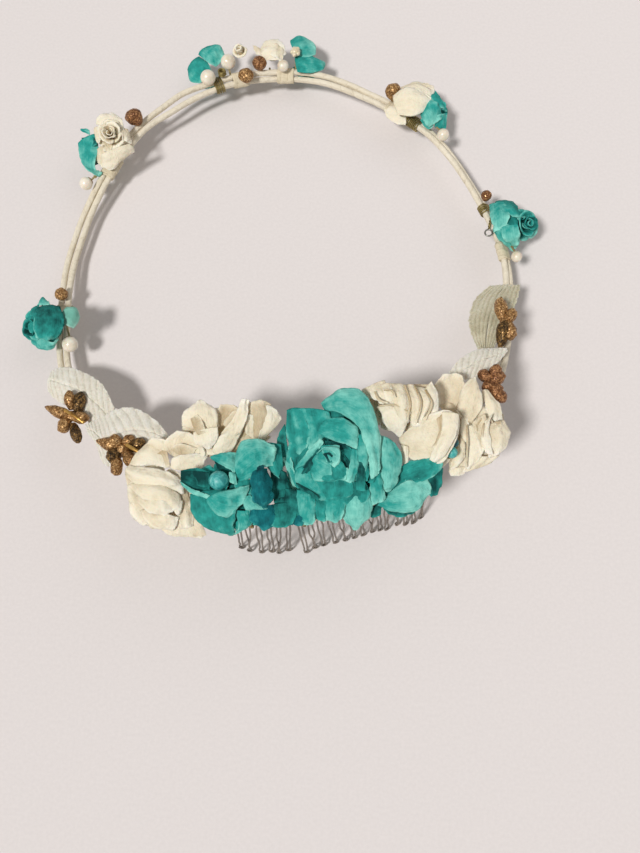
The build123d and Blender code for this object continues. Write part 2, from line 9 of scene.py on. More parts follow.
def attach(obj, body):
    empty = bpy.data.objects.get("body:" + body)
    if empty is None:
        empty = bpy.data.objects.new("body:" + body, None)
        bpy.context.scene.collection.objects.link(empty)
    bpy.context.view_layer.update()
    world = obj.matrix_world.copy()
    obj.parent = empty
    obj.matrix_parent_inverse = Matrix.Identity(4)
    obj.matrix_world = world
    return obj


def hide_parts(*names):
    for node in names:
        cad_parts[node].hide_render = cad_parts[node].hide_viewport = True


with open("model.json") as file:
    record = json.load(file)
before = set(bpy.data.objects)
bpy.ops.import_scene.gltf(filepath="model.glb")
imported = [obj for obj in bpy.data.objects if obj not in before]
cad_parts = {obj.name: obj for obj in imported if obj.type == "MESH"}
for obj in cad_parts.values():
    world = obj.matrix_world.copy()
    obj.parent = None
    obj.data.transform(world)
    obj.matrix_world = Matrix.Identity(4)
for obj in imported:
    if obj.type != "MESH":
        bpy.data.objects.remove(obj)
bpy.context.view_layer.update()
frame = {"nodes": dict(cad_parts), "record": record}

RECORD = frame["record"]
OX, OY = -5.488, 18.191  # layout coordinates of the part, in mm, are moved by this to the row frame

# ------------------------------------------------------------------ layout, in mm
ROUTE = [
    (-1.2, -76.0, 39.9, 1.28, 0.0),
    (-12.5, -75.7, 39.8, 1.28, 0.0),
    (-23.0, -72.6, 34.8, 1.28, 0.0),
    (-33.0, -66.6, 27.6, 1.28, 0.0),
    (-43.0, -59.4, 21.8, 1.28, 0.0),
    (-53.0, -51.2, 17.6, 1.28, 0.0),
    (-63.0, -41.8, 14.2, 1.28, 0.0),
    (-72.4, -31.4, 11.2, 1.28, 0.0),
    (-79.4, -20.6, 9.0, 1.25, 0.0),
    (-82.2, -10.2, 8.0, 1.25, 0.0),
    (-83.0, -1.0, 8.0, 1.25, 0.0),
    (-83.6, 7.5, 7.5, 1.25, 0.0),
    (-83.8, 16.0, 6.9, 1.25, 0.0),
    (-83.4, 25.2, 6.1, 1.3, 0.0),
    (-81.8, 34.3, 6.0, 1.35, 0.0),
    (-79.5, 43.3, 6.5, 1.3, 0.0),
    (-76.6, 51.1, 7.7, 1.25, 0.0),
    (-72.7, 59.4, 9.3, 1.25, 0.0),
    (-68.4, 67.5, 10.3, 1.35, 0.0),
    (-64.0, 74.8, 10.9, 1.4, 0.0),
    (-58.0, 81.7, 11.7, 1.4, 0.0),
    (-50.8, 87.6, 12.0, 1.9, 0.0),
    (-43.6, 93.3, 12.0, 2.2, 0.0),
    (-35.3, 97.5, 12.0, 1.8, 0.0),
    (-26.8, 101.0, 11.6, 1.4, 0.2),
    (-18.8, 103.5, 10.8, 1.2, 0.5),
    (-9.6, 104.8, 10.2, 1.0, 0.75),
    (-0.4, 104.9, 10.0, 0.95, 0.8),
    (8.8, 103.4, 10.0, 1.15, 0.5),
    (17.4, 100.3, 10.0, 1.3, 0.2),
    (25.8, 96.2, 10.0, 1.3, 0.0),
    (33.9, 91.8, 10.0, 1.28, -0.2),
    (41.4, 86.3, 10.0, 1.2, -0.4),
    (48.7, 80.6, 10.0, 1.1, -0.6),
    (54.9, 73.8, 10.0, 0.95, -0.75),
    (60.1, 66.1, 10.0, 0.8, -0.88),
    (64.6, 58.0, 10.0, 0.78, -0.9),
    (68.8, 49.7, 10.0, 0.78, -0.9),
    (72.6, 41.3, 10.0, 0.78, -0.9),
    (75.6, 32.5, 10.3, 0.78, -0.9),
    (77.4, 23.5, 11.0, 0.8, -0.88),
    (77.7, 14.3, 12.0, 0.85, -0.82),
    (77.0, 5.0, 13.2, 0.95, -0.72),
    (75.4, -6.0, 16.0, 1.1, -0.5),
    (72.6, -17.5, 20.8, 1.2, -0.25),
    (68.6, -28.5, 26.0, 1.25, 0.0),
    (63.2, -39.5, 31.5, 1.25, 0.0),
    (56.0, -50.0, 36.0, 1.25, 0.0),
    (46.5, -59.8, 39.2, 1.28, 0.0),
    (35.5, -67.0, 39.9, 1.28, 0.0),
    (24.0, -71.9, 39.9, 1.28, 0.0),
    (11.5, -74.9, 39.9, 1.28, 0.0),
    (-0.8, -76.0, 39.9, 1.28, 0.0),
]
STRAND_R = 1.15
COMB_R, COMB_CX, COMB_CY = 91.0, -4.0, 15.0
SPINE_Z = 36.6
COMB_A0, COMB_A1 = -95.6, -58.6
TEETH = [
    (1.3, 1.4, -2.0, 7.2),
    (1.3, 1.5, -2.3, 8.3),
    (1.3, 1.3, -1.5, 8.6),
    (1.3, 1.4, -1.2, 8.0),
    (1.3, 1.3, -2.0, 8.6),
    (1.3, 1.5, -2.0, 7.3),
    (1.3, 1.4, 0.9, 9.0),
    (1.3, 1.5, 0.6, 7.2),
    (1.3, 1.4, 0.4, 6.5),
    (1.3, 1.3, 1.3, 6.3),
    (1.3, 1.4, 1.7, 6.3),
    (1.3, 1.3, 1.6, 6.2),
    (1.3, 1.5, 1.5, 6.2),
    (1.3, 1.4, 1.7, 6.1),
    (1.3, 1.3, 1.1, 6.7),
    (1.3, 1.4, 0.1, 7.7),
    (1.3, 1.3, 0.9, 7.7),
    (1.3, 1.4, 0.1, 9.5),
    (1.3, 1.5, -0.4, 10.7),
    (1.3, 1.4, -0.7, 10.3),
]

# Petal outlines: rows across the petal, each (x, y, z of one side, x, y, z of the other side). The option 'tone' paints
# a petal lighter or darker as it looks lit or shaded (painted light and shade); 'side' paints one long edge darker and
# the other lighter (painted light and shade across a ridge).
PATCHES = {
    "main_outer": [
        ([(2.01, -45.16, 48, 6.13, -44.74, 48.8), (2.24, -51.98, 46, 9.42, -51.55, 48), (4.12, -59.36, 43.5, 9.69, -56.84, 46)], {'bulge': 0.5, 'crumple': 1, 'tone': -0.04}),
        ([(1.7, -49.06, 46, 2.86, -59.11, 44), (-0.46, -52.57, 43, 1.7, -60.43, 43), (-1.03, -56.0, 41, 0.84, -61.51, 41)], {'tone': -0.25, 'bulge': 0.5}),
        ([(-1.09, -54.01, 41, 0.2, -53.71, 42), (1.78, -61.08, 44, 3.92, -59.99, 45), (3.98, -68.32, 42, 5.09, -68.14, 43)], {'tone': 0.3, 'bulge': -0.3}),
        ([(-1.13, -62.07, 40, 0.48, -62.3, 41), (2.61, -67.95, 42, 4.46, -66.38, 42), (5.34, -73.08, 41, 6.0, -72.3, 41)], {'tone': 0.2, 'bulge': -0.2}),
        ([(12.5, -42.98, 48, 13.84, -45.75, 48.5), (16.05, -40.43, 50, 16.87, -45.96, 50), (20.4, -39.22, 51, 21.09, -48.36, 50.8), (25.81, -41.16, 51.5, 24.37, -51.94, 51.2), (29.03, -48.4, 51.2, 26.03, -56.42, 50.8), (30.34, -55.77, 50, 27.1, -62.29, 50), (30.52, -62.0, 49, 27.58, -66.53, 48.8)], {'tone': 0.24, 'bulge': 1.1, 'crumple': 0.7}),
        ([(11.42, -52.44, 49, 13.92, -48.66, 50), (16.11, -55.0, 50, 18.63, -48.45, 51), (19.83, -56.41, 50.5, 23.11, -51.12, 51), (23.18, -57.63, 49.5, 23.8, -51.98, 50)], {'tone': 0.15, 'bulge': 0.8}),
        ([(3.59, -58.32, 44, 12.29, -53.57, 47), (3.93, -64.3, 43, 8.69, -63.3, 45.5), (5.27, -68.3, 42, 10.19, -66.0, 44)], {'tone': -0.15, 'bulge': 0.7}),
        ([(23.51, -53.53, 50, 27.07, -52.87, 50), (23.2, -60.31, 49.5, 26.66, -60.27, 49.5), (21.79, -67.05, 47.5, 25.49, -67.76, 47.5)], {'tone': 0.1, 'bulge': 1.0}),
        ([(26.75, -56.25, 46, 29.15, -56.61, 46), (26.28, -66.03, 45, 29.48, -65.23, 45), (24.47, -70.19, 43, 30.45, -69.35, 43)], {'tone': -0.6, 'bulge': 0.3}),
        ([(27.67, -62.92, 48, 29.52, -61.37, 48), (27.36, -68.65, 46.5, 31.05, -67.08, 46.5), (28.03, -73.01, 44, 31.75, -71.07, 44)], {'bulge': 0.7}),
        ([(30.27, -52.88, 48, 34.77, -55.02, 47.5), (30.11, -59.84, 48, 36.88, -59.36, 46.5), (31.08, -66.21, 46, 35.21, -66.68, 45), (31.51, -68.9, 44.5, 34.14, -68.61, 44)], {'tone': 0.25, 'bulge': 1.0}),
        ([(5.81, -63.19, 48, 10.63, -62.11, 48.5), (5.56, -66.76, 47, 12.56, -67.55, 47.5), (8.86, -69.91, 46, 16.29, -70.95, 46), (12.21, -71.92, 45, 13.7, -72.28, 45)], {'tone': 0.05, 'bulge': 1.2}),
        ([(9.96, -66.18, 48, 22.15, -66.53, 48.5), (11.1, -69.35, 47, 21.83, -70.71, 47), (13.49, -72.54, 45.5, 17.93, -71.95, 45.5)], {'tone': -0.05, 'bulge': 1.2}),
        ([(15.51, -67.13, 47.5, 26.21, -67.49, 48), (16.88, -70.94, 46, 27.01, -70.43, 46), (18.9, -73.24, 44.5, 25.94, -72.77, 44.5)], {'tone': -0.2, 'bulge': 1.1}),
        ([(5.55, -69.1, 45.6, 10.8, -70.64, 46), (5.03, -73.15, 45, 11.31, -74.65, 45.4), (6.11, -77.11, 43.8, 10.59, -78.25, 43.8), (7.44, -78.71, 42.8, 9.53, -78.83, 42.8)], {'tone': 0.12, 'bulge': 1.0, 'crumple': 0.9}),
        ([(14.22, -71.64, 45.6, 20.14, -71.56, 45.6), (13.96, -74.87, 44.8, 19.88, -74.79, 44.8), (15.03, -77.83, 43.5, 18.87, -77.2, 43.6)], {'tone': 0.02, 'bulge': 1.0, 'crumple': 0.9}),
        ([(18.87, -70.05, 45.5, 27.01, -70.81, 46), (18.32, -74.17, 43.5, 28.13, -74.04, 43.5), (20.07, -77.41, 40, 26.44, -76.87, 40), (22.58, -78.9, 37.5, 23.86, -78.8, 37.5)], {'tone': 0.35, 'bulge': 1.8}),
        ([(27.11, -69.17, 42, 30.87, -67.97, 42), (27.56, -73.34, 40, 31.32, -71.76, 40), (28.0, -75.63, 38, 30.64, -74.82, 38)], {'tone': -0.5, 'bulge': 0.4}),
        ([(0.29, -69.04, 45, 6.44, -69.43, 45.4), (0.7, -73.84, 44.4, 6.97, -73.84, 44.8), (2.22, -77.09, 43.4, 6.11, -77.53, 43.6), (3.72, -78.88, 42.6, 4.91, -78.86, 42.6)], {'tone': -0.4, 'bulge': 0.6, 'crumple': 0.9}),
        ([(5.52, -44.84, 48.6, 14.91, -45.82, 49), (8.49, -51.38, 47.4, 16.03, -51.2, 48.4), (8.56, -57.49, 45.5, 13.45, -55.51, 47)], {'bulge': 0.7, 'crumple': 1, 'tone': 0.06}),
        ([(13.82, -45.13, 47.8, 20.48, -46.56, 48.8), (15.28, -51.48, 48, 23.67, -52.02, 48.8), (22.07, -55.69, 48, 26.68, -56.58, 48.6)], {'tone': -0.3, 'bulge': 0.4}),
        ([(22.77, -51.81, 49.4, 25.14, -52.02, 50.2), (23.7, -58.75, 49.4, 26.94, -58.11, 50), (22.89, -66.02, 48, 26.71, -66.82, 48.4)], {'tone': -0.28, 'bulge': 0.4}),
        ([(9.58, -70.1, 45.2, 15.25, -71.21, 45.4), (10.1, -74.51, 44.6, 15.59, -74.47, 44.8), (11.01, -77.72, 43.4, 14.58, -77.82, 43.4)], {'tone': -0.12, 'bulge': 0.8, 'crumple': 0.9}),
    ],
    "main_inner": [
        ([(13.27, -55.93, 48.5, 23.41, -57.49, 49), (12.61, -59.65, 46.5, 23.46, -61.19, 47), (13.02, -63.13, 45, 22.92, -65.69, 45)], {'tone': -0.4, 'bulge': -0.8}),
        ([(4.9, -63.23, 47.5, 5.96, -64.13, 47.5), (8.6, -58.8, 49.5, 9.96, -60.09, 49.5), (12.64, -54.94, 51, 13.63, -56.24, 51)], {'tone': 0.3, 'bulge': 0.4}),
        ([(5.9, -63.58, 46.5, 8.83, -67.75, 46.5), (8.7, -59.32, 48, 11.38, -63.12, 48), (13.14, -55.82, 49.5, 14.52, -58.12, 49.5)], {'tone': -0.2, 'bulge': 0.5}),
        ([(21.91, -57.69, 50.5, 23.69, -58.15, 50), (21.38, -63.5, 50, 23.74, -63.98, 49), (19.8, -67.09, 48.5, 22.75, -67.69, 48)], {'tone': 0.15, 'bulge': 0.8}),
        ([(9.29, -64.49, 48.8, 11.08, -63.47, 50), (13.47, -67.19, 48.6, 15.15, -65.24, 50), (19.94, -66.93, 48.5, 20.79, -63.51, 50)], {'tone': 0.1, 'bulge': 0.8}),
        # the next six are dark strips beside the rims: painted shade in the gaps round the heart
        ([(17.64, -58.54, 49.8, 19.27, -58.91, 49.8), (18.71, -61.58, 49.8, 21.22, -62.31, 49.8), (16.68, -64.32, 49.4, 19.93, -65.64, 49.4)], {'tone': -0.5, 'bulge': -0.3}),
        ([(23.66, -54.39, 50.3, 25.44, -54.68, 50.3), (23.57, -61.93, 49.9, 25.63, -62.29, 49.9), (23.28, -69.48, 48.3, 25.84, -69.82, 48.3)], {'tone': -0.5, 'bulge': 0.2}),
        ([(6.47, -64.55, 48.6, 8.27, -65.59, 48.6), (9.7, -60.5, 50.2, 11.2, -61.85, 50.2), (12.89, -56.71, 51, 14.09, -57.76, 51)], {'tone': -0.42, 'bulge': 0.1}),
        ([(14.04, -55.45, 50.4, 19.83, -56.44, 50.6), (14.36, -56.93, 50.2, 22.06, -58.27, 50.4)], {'tone': -0.5, 'bulge': 0.1}),
        ([(5.48, -67.71, 47.8, 12.35, -71.54, 47.8), (6.05, -68.58, 47, 11.9, -72.42, 47)], {'tone': -0.42, 'bulge': 0.1}),
        ([(27.12, -55.85, 48.8, 29.05, -56.6, 48.8), (27.43, -63.13, 48.8, 29.64, -63.1, 48.8), (27.02, -67.48, 48, 28.2, -67.47, 48)], {'tone': -0.45, 'bulge': 0.2}),
    ],
    "left_teal": [
        ([(-29.52, -63.73, 45, -29.07, -67.5, 44), (-25.06, -63.38, 46, -25.69, -69.64, 44.5), (-20.43, -64.12, 45.5, -20.25, -71.45, 44)], {'tone': -0.4, 'bulge': -0.8}),
        ([(-29.46, -66.97, 45, -28.79, -68.15, 44.5), (-25.54, -69.33, 45.5, -25.08, -70.81, 45), (-19.97, -71.27, 46, -20.5, -72.43, 45)], {'tone': 0.3, 'bulge': 0.4}),
        ([(-26.41, -70.43, 43.5, -15.72, -69.7, 46), (-25.49, -75.93, 42.5, -12.56, -73.44, 46), (-22.8, -79.56, 41, -13.22, -79.79, 43), (-16.67, -80.94, 39, -12.88, -81.19, 39)], {'tone': -0.1, 'bulge': 1.6}),
        ([(-21.22, -72.9, 46.5, -17.03, -70.54, 47), (-18.34, -76.67, 46, -12.39, -69.99, 47.5), (-14.55, -77.93, 45, -8.07, -68.15, 47)], {'tone': 0.1, 'bulge': 0.8}),
        ([(-13.02, -79.42, 41, -10.53, -76.43, 43), (-12.6, -81.12, 39.5, -9.27, -79.22, 41)], {'tone': 0.2}),
        ([(-10.61, -76.83, 43.5, -8.07, -73.02, 45), (-11.59, -80.43, 40, -8.28, -77.84, 41)], {'tone': 0.05}),
        ([(-20.45, -59.58, 46.5, -19.72, -60.66, 46.5), (-17.64, -58.67, 47, -15.31, -62.8, 46), (-13.0, -58.23, 47, -12.9, -64.19, 45.5)], {'tone': 0.1, 'bulge': 0.6}),
        ([(-19.49, -60.5, 45, -18.54, -62.62, 44.5), (-15.41, -62.05, 45.5, -15.44, -65.24, 44), (-12.76, -63.44, 45, -12.72, -66.91, 44)], {'tone': -0.55, 'bulge': -0.4}),
        ([(-13.05, -60.97, 48, -11.29, -67.32, 46.5), (-11.5, -56.43, 49, -6.74, -65.63, 48), (-7.38, -55.13, 49.5, -5.14, -63.45, 48.5), (-1.3, -56.17, 48.5, -1.54, -62.39, 47.5)], {'tone': 0.15, 'bulge': 1.4}),
        ([(-5.68, -55.48, 47.5, 0.61, -55.74, 47), (-4.78, -60.61, 47, 1.18, -61.82, 46), (-1.89, -64.32, 46, 1.56, -66.57, 45)], {'tone': -0.15, 'bulge': 0.8}),
        ([(-14.72, -64.3, 46.5, -12.75, -64.81, 46.5), (-14.49, -67.24, 46, -12.21, -67.97, 46)], {'tone': 0.35, 'bulge': 0.3}),
        ([(-12.99, -66.76, 45, -8.01, -66.55, 46), (-12.49, -69.43, 45, -7.45, -71.11, 46)], {'tone': -0.1, 'bulge': 0.6}),
        ([(-19.67, -73.67, 43, -9.84, -75.06, 43), (-18.14, -79.34, 41, -8.37, -79.2, 41)], {'tone': -0.4, 'bulge': 0.5}),
        ([(-14.57, -67.7, 44, -5.54, -67.58, 44), (-13.65, -75.01, 42.5, -5.4, -74.9, 42.5)], {'tone': -0.5, 'bulge': 0.4}),
        ([(-25.81, -64.11, 45.8, -20.6, -64.6, 46.2), (-23.98, -68.14, 45.4, -20.31, -68.75, 45.6)], {'tone': -0.6, 'bulge': -0.2}),
    ],
    "left_bud": [
        ([(-7.31, -64.34, 48, -3.32, -63.53, 48), (-7.49, -68.87, 49.5, -1.58, -68.68, 49), (-6.95, -73.18, 48, -1.53, -72.36, 48), (-5.07, -75.14, 46, -3.09, -74.52, 46)], {'m': 1, 'tone': -0.05, 'bulge': 2.6, 'crumple': 0.9}),
        ([(-6.14, -63.28, 49, -4.23, -62.8, 49), (-5.57, -69.19, 51, -3.39, -68.79, 51), (-4.78, -74.21, 49.5, -3.05, -73.74, 49.5)], {'m': 1, 'tone': -0.35, 'bulge': 0.6, 'crumple': 0.8}),
        ([(-10.38, -72.28, 46, -7.94, -71.33, 47), (-9.29, -75.05, 46, -4.91, -74.19, 46.5), (-8.14, -76.09, 44.5, -2.05, -74.9, 45)], {'tone': 0.35, 'bulge': 0.7, 'crumple': 0.8}),
        ([(-8.1, -75.47, 45.2, -1.46, -73.77, 45.4), (-7.6, -78.69, 44.4, -0.04, -77.54, 44.8), (-5.42, -80.46, 43.2, -2.13, -80.45, 43.4)], {'m': 1, 'tone': -0.15, 'bulge': 0.9, 'crumple': 1}),
        ([(-2.55, -62.49, 46, 2.23, -63.88, 45), (-1.65, -69.29, 45, 3.39, -69.77, 44), (-0.88, -74.33, 43, 4.59, -74.06, 42)], {'tone': -0.4, 'bulge': 0.8}),
        ([(-2.23, -73.85, 45, 4.74, -73.3, 45), (-1.71, -77.48, 44.4, 5.41, -77.05, 44.6), (-0.52, -80.09, 43.2, 3.49, -79.62, 43.4)], {'tone': -0.3, 'bulge': 0.8, 'crumple': 1}),
        ([(-12.86, -75.3, 44, -8.07, -75.61, 44), (-11.46, -79.49, 41.5, -7.4, -78.47, 42), (-13.17, -81.34, 39, -10.53, -80.42, 40)], {'tone': 0.05, 'bulge': 0.6}),
        ([(-8.39, -76.36, 42, -2.42, -77.61, 41), (-8.45, -78.51, 40.5, -2.5, -78.85, 39.5)], {'tone': -0.3, 'bulge': 0.4}),
        ([(2.17, -72.95, 44.6, 7.53, -72.88, 44.6), (2.85, -76.97, 44, 7.89, -76.53, 44), (3.9, -79.4, 43, 7.02, -79.05, 43)], {'m': 1, 'tone': -0.2, 'bulge': 0.6, 'crumple': 1}),
    ],
    "right_teal": [
        ([(29.78, -72.75, 41, 33.32, -69.05, 42.5), (35.04, -74.41, 40.5, 37.2, -66.2, 43), (41.08, -73.93, 40, 41.89, -64.94, 42.5), (45.38, -69.53, 40.5, 44.57, -64.56, 42)], {'tone': 0.3, 'bulge': 1.6}),
        ([(30.32, -68.47, 42.5, 36.45, -62.31, 43.5), (31.26, -71.69, 41.5, 38.47, -66.33, 43)], {'tone': -0.2, 'bulge': 0.5}),
        ([(35.85, -61.7, 43.5, 38.72, -66.98, 42.5), (42.45, -59.11, 44, 44.14, -65.07, 42.5), (49.31, -59.31, 43, 48.08, -63.01, 42.5)], {'tone': -0.1, 'bulge': 1.0}),
        ([(44.05, -64.18, 42, 49.53, -61.16, 42), (45.61, -69.22, 40.5, 48.93, -65.74, 41), (46.78, -69.25, 40, 48.23, -68.3, 40)], {'tone': -0.3, 'bulge': 0.6}),
        ([(31.32, -72.53, 40, 42.63, -73.04, 39.5), (32.91, -74.56, 38, 40.47, -74.61, 38)], {'tone': -0.45, 'bulge': 0.4}),
    ],
    "ivory_upper_left": [
        ([(-30.82, -48.55, 41, -19.81, -49.15, 41.5), (-30.13, -44.38, 42, -20.23, -44.44, 42.5), (-26.72, -41.24, 42.5, -23.18, -41.7, 42.5)], {'bulge': 1.2, 'tone': 0.05}),
        ([(-27.91, -46.76, 43.2, -25.38, -51.78, 42.6), (-25.75, -45.49, 43.6, -23.05, -51.07, 43)], {'tone': -0.42000000000000004, 'bulge': -0.3}),
        ([(-26.93, -50.94, 42.4, -19.29, -49.27, 43), (-26.23, -53.58, 41, -19.6, -52.87, 41.6), (-23.86, -54.82, 39.8, -21.77, -54.79, 39.8)], {'tone': 0.2, 'bulge': 0.7}),
        ([(-21.96, -49.37, 40, -18.94, -51.92, 40), (-19.99, -43.96, 41, -14.34, -47.01, 40), (-19.27, -41.49, 41.5, -12.07, -42.9, 41)], {'tone': -0.5700000000000001, 'bulge': -1.0}),
        ([(-18.92, -50.86, 40.5, -15.58, -52.43, 40.5), (-14.99, -46.81, 42.5, -12.05, -49.61, 42), (-12.43, -40.86, 43.5, -10.19, -43.68, 43)], {'tone': 0, 'bulge': 0.5}),
        ([(-14.99, -50.16, 42.4, -12.34, -50.94, 42.4), (-13.38, -44.78, 43.8, -10.38, -46.36, 43.8), (-12.36, -40.68, 44.2, -10.02, -40.98, 44.2)], {'tone': 0.1, 'bulge': 0.4}),
        ([(-9.68, -50.21, 40, -6.39, -52.04, 39.5), (-9.85, -44.98, 42, -2.62, -45.41, 41), (-9.59, -40.74, 42.5, -3.47, -41.09, 42)], {'tone': -0.47, 'bulge': 0.8}),
        ([(-7.27, -52.19, 40, -4.85, -51.62, 39.5), (-5.62, -47.21, 41.5, -0.59, -46.61, 40.5), (-5.17, -41.27, 42, -0.95, -43.92, 41)], {'tone': 0.1, 'bulge': 0.6}),
        ([(-11.18, -50.21, 40.5, -8.44, -52.05, 40), (-10.8, -45.15, 42.5, -8.71, -45.13, 42.5)], {'tone': 0, 'bulge': 0.3}),
        ([(-21.35, -56.1, 39, -16.38, -57.27, 38.5), (-19.53, -52.86, 41, -13.27, -52.24, 40.5), (-16.53, -49.59, 41.5, -11.8, -49.15, 41)], {'tone': 0.08, 'bulge': 0.8}),
        ([(-35.36, -56.13, 37, -27.47, -59.38, 37.5), (-36.56, -53.01, 38, -23.77, -57.19, 38.5), (-32.58, -49.58, 39.5, -25.01, -53.3, 39.5)], {'tone': -0.1, 'bulge': -0.8}),
        ([(-34.4, -55.31, 38.2, -28.84, -57.98, 38.2), (-32.91, -53.76, 38.8, -25.81, -54.89, 38.8)], {'tone': -0.42000000000000004, 'bulge': -0.3}),
        ([(-34.45, -60.69, 36, -24.31, -61.37, 36), (-33.1, -57.81, 38, -23.69, -58.66, 38), (-27.46, -56.68, 38.5, -22.65, -57.69, 38)], {'tone': 0.1, 'bulge': 0.7}),
        ([(-42.84, -52.76, 34.5, -35.43, -54.94, 35), (-41.92, -50.84, 35, -34.92, -52.6, 36)], {'bulge': 0.4}),
        ([(-23.37, -57.27, 37, -6.67, -53.37, 37.6), (-21.54, -51.68, 38.2, -3.18, -50.72, 38.4)], {'tone': -0.4, 'bulge': 0.5}),
        ([(-19.98, -50.56, 38.6, -7.43, -50.88, 38.8), (-16.99, -45.12, 39.6, -6.79, -45.08, 39.8), (-12.39, -41.16, 40.2, -7.67, -41.52, 40.2)], {'tone': -0.32, 'bulge': 0.5}),
    ],
    "ivory_left": [
        ([(-50.26, -60.87, 30, -46.25, -60.82, 30), (-48.18, -68.05, 29.5, -42.6, -67.98, 29.5), (-45.65, -74.16, 28, -40.87, -74.09, 28)], {'tone': -0.15}),
        ([(-49.48, -59.63, 31, -43.24, -51.69, 33), (-45.81, -59.14, 32.5, -38.74, -51.34, 34), (-39.97, -59.2, 33, -34.68, -59.95, 33)], {'tone': 0.05, 'bulge': 0.8}),
        ([(-40.89, -56.86, 34, -36.55, -53.92, 34.5), (-39.58, -59.81, 33.5, -35.0, -59.39, 34)], {'tone': -0.45, 'bulge': -0.4}),
        ([(-49.92, -62.08, 31, -48.48, -59.13, 32), (-44.15, -65.95, 34, -41.19, -60.6, 35), (-36.81, -66.88, 35, -34.52, -62.25, 35.5), (-30.58, -68.06, 33.5, -31.03, -64.66, 34)], {'tone': 0.1, 'bulge': 1.4}),
        ([(-48.61, -65.32, 31, -44.45, -65.0, 33), (-43.06, -69.92, 34, -38.31, -66.29, 35.5), (-35.69, -71.61, 35, -32.66, -68.09, 35), (-31.78, -75.09, 33, -30.71, -70.92, 33.5)], {'tone': -0.05, 'bulge': 1.4}),
        ([(-46.3, -69.32, 31, -42.99, -68.59, 33), (-41.31, -73.75, 33.5, -37.07, -70.63, 35.5), (-36.06, -75.31, 33, -32.39, -72.62, 34)], {'tone': 0.1, 'crumple': 0.9, 'bulge': 1.0}),
        ([(-44.64, -73.1, 30, -40.14, -72.72, 32), (-40.34, -77.81, 30, -34.92, -74.82, 33), (-33.97, -79.28, 29, -31.79, -75.37, 32)], {'bulge': 1.2}),
        ([(-38.24, -78.3, 28.5, -32.14, -75.19, 31), (-35.08, -80.06, 27, -28.42, -77.3, 29), (-30.47, -80.62, 26, -24.62, -80.22, 27)], {'tone': 0.05, 'bulge': 0.8}),
        ([(-33.26, -67.02, 33, -30.06, -66.71, 32.5), (-31.98, -73.42, 32.5, -28.2, -71.42, 31.5), (-31.08, -78.62, 30, -27.38, -77.38, 29.5)], {'tone': -0.22, 'bulge': 0.7}),
        ([(-30.93, -77.49, 29, -26.08, -74.12, 30), (-30.26, -79.76, 27.5, -23.55, -79.59, 28), (-27.93, -80.43, 27, -24.14, -80.22, 27)], {'tone': -0.05, 'bulge': 0.6}),
    ],
    "ivory_upper_right": [
        ([(25.22, -38.09, 45, 47.96, -35.69, 45), (27.05, -43.53, 44, 48.28, -41.87, 44), (31.58, -47.9, 42, 46.33, -47.02, 42)], {'tone': -0.3, 'bulge': 0.6}),
        ([(26.79, -37.67, 48, 31.69, -35.31, 48), (27.92, -40.87, 49, 33.77, -39.55, 49.5), (30.32, -42.5, 48, 34.51, -42.03, 48)], {'tone': 0.1, 'crumple': 1.1, 'bulge': 0.6}),
        ([(30.49, -37.12, 49, 35.03, -36.72, 49), (31.59, -40.46, 50, 35.42, -40.06, 50), (32.35, -42.77, 48, 36.2, -42.44, 48)], {'crumple': 0.9, 'bulge': 0.5}),
        ([(24.93, -37.86, 46, 28.98, -36.75, 47.5), (25.96, -40.59, 46, 29.64, -40.51, 48)], {'tone': -0.1, 'bulge': 0.5}),
        # 'side' 0.55: each ridge painted darker along one edge and lighter along the other, as light and shade on the
        # ridges
        ([(33.7, -36.91, 48.5, 37.22, -36.88, 48.5), (34.45, -43.64, 49, 38.83, -42.18, 49), (35.8, -49.06, 46, 39.32, -47.6, 46)], {'bulge': 1.5, 'tone': 0.1, 'side': 0.55}),
        ([(36.78, -37.07, 48, 40.31, -36.67, 48), (38.73, -42.02, 48.5, 42.57, -41.98, 48.5), (39.51, -49.02, 46, 42.41, -49.34, 46)], {'bulge': 1.5, 'side': 0.55}),
        ([(40.21, -37.22, 47.5, 44.12, -37.73, 47), (42.34, -42.53, 48, 46.03, -41.97, 47.5), (41.0, -48.29, 46, 44.06, -47.2, 46)], {'bulge': 1.5, 'tone': 0.05, 'side': 0.55}),
        ([(43.63, -38.6, 47, 45.96, -35.54, 48), (42.89, -42.9, 47, 47.76, -40.16, 47.5), (42.46, -46.55, 45, 47.82, -44.81, 46)], {'bulge': 1.5, 'tone': 0.1, 'side': 0.55}),
        ([(29.21, -43.61, 47, 34.4, -43.01, 47.5), (31.01, -46.17, 47.5, 38.98, -43.96, 47.5), (31.59, -48.69, 46.5, 38.98, -47.35, 47), (35.76, -51.86, 44, 37.39, -51.42, 44)], {'tone': 0.25, 'bulge': 0.8}),
        # thin dark strips: painted shadow lines between the ridges
        ([(37.39, -37.55, 50.0, 37.73, -37.55, 50.0), (38.83, -43.03, 50.5, 39.27, -43.03, 50.5), (38.21, -48.2, 48.8, 38.61, -48.39, 48.8)], {'tone': -0.5, 'bulge': 0.1, 'crumple': 0.2}),
        ([(40.37, -37.59, 49.8, 40.7, -37.59, 49.8), (42.18, -42.95, 50.2, 42.58, -43.06, 50.2), (40.89, -48.84, 48.4, 41.26, -49.06, 48.4)], {'tone': -0.5, 'bulge': 0.1, 'crumple': 0.2}),
        ([(43.73, -38.6, 49.0, 44.06, -38.68, 49.0), (45.65, -43.09, 49.4, 46.01, -43.09, 49.4), (43.79, -47.44, 47.6, 44.16, -47.66, 47.6)], {'tone': -0.5, 'bulge': 0.1, 'crumple': 0.2}),
        ([(28.38, -39.95, 50.6, 28.83, -39.87, 50.6), (29.59, -42.68, 50.6, 30.04, -42.36, 50.6), (32.36, -43.63, 50.2, 32.66, -43.28, 50.2)], {'tone': -0.45, 'bulge': 0.1, 'crumple': 0.2}),
        ([(31.29, -39.54, 51.0, 31.66, -39.22, 51.0), (33.66, -40.01, 51.2, 33.96, -39.69, 51.2), (34.4, -41.79, 51.0, 34.84, -41.87, 51.0)], {'tone': -0.45, 'bulge': 0.1, 'crumple': 0.2}),
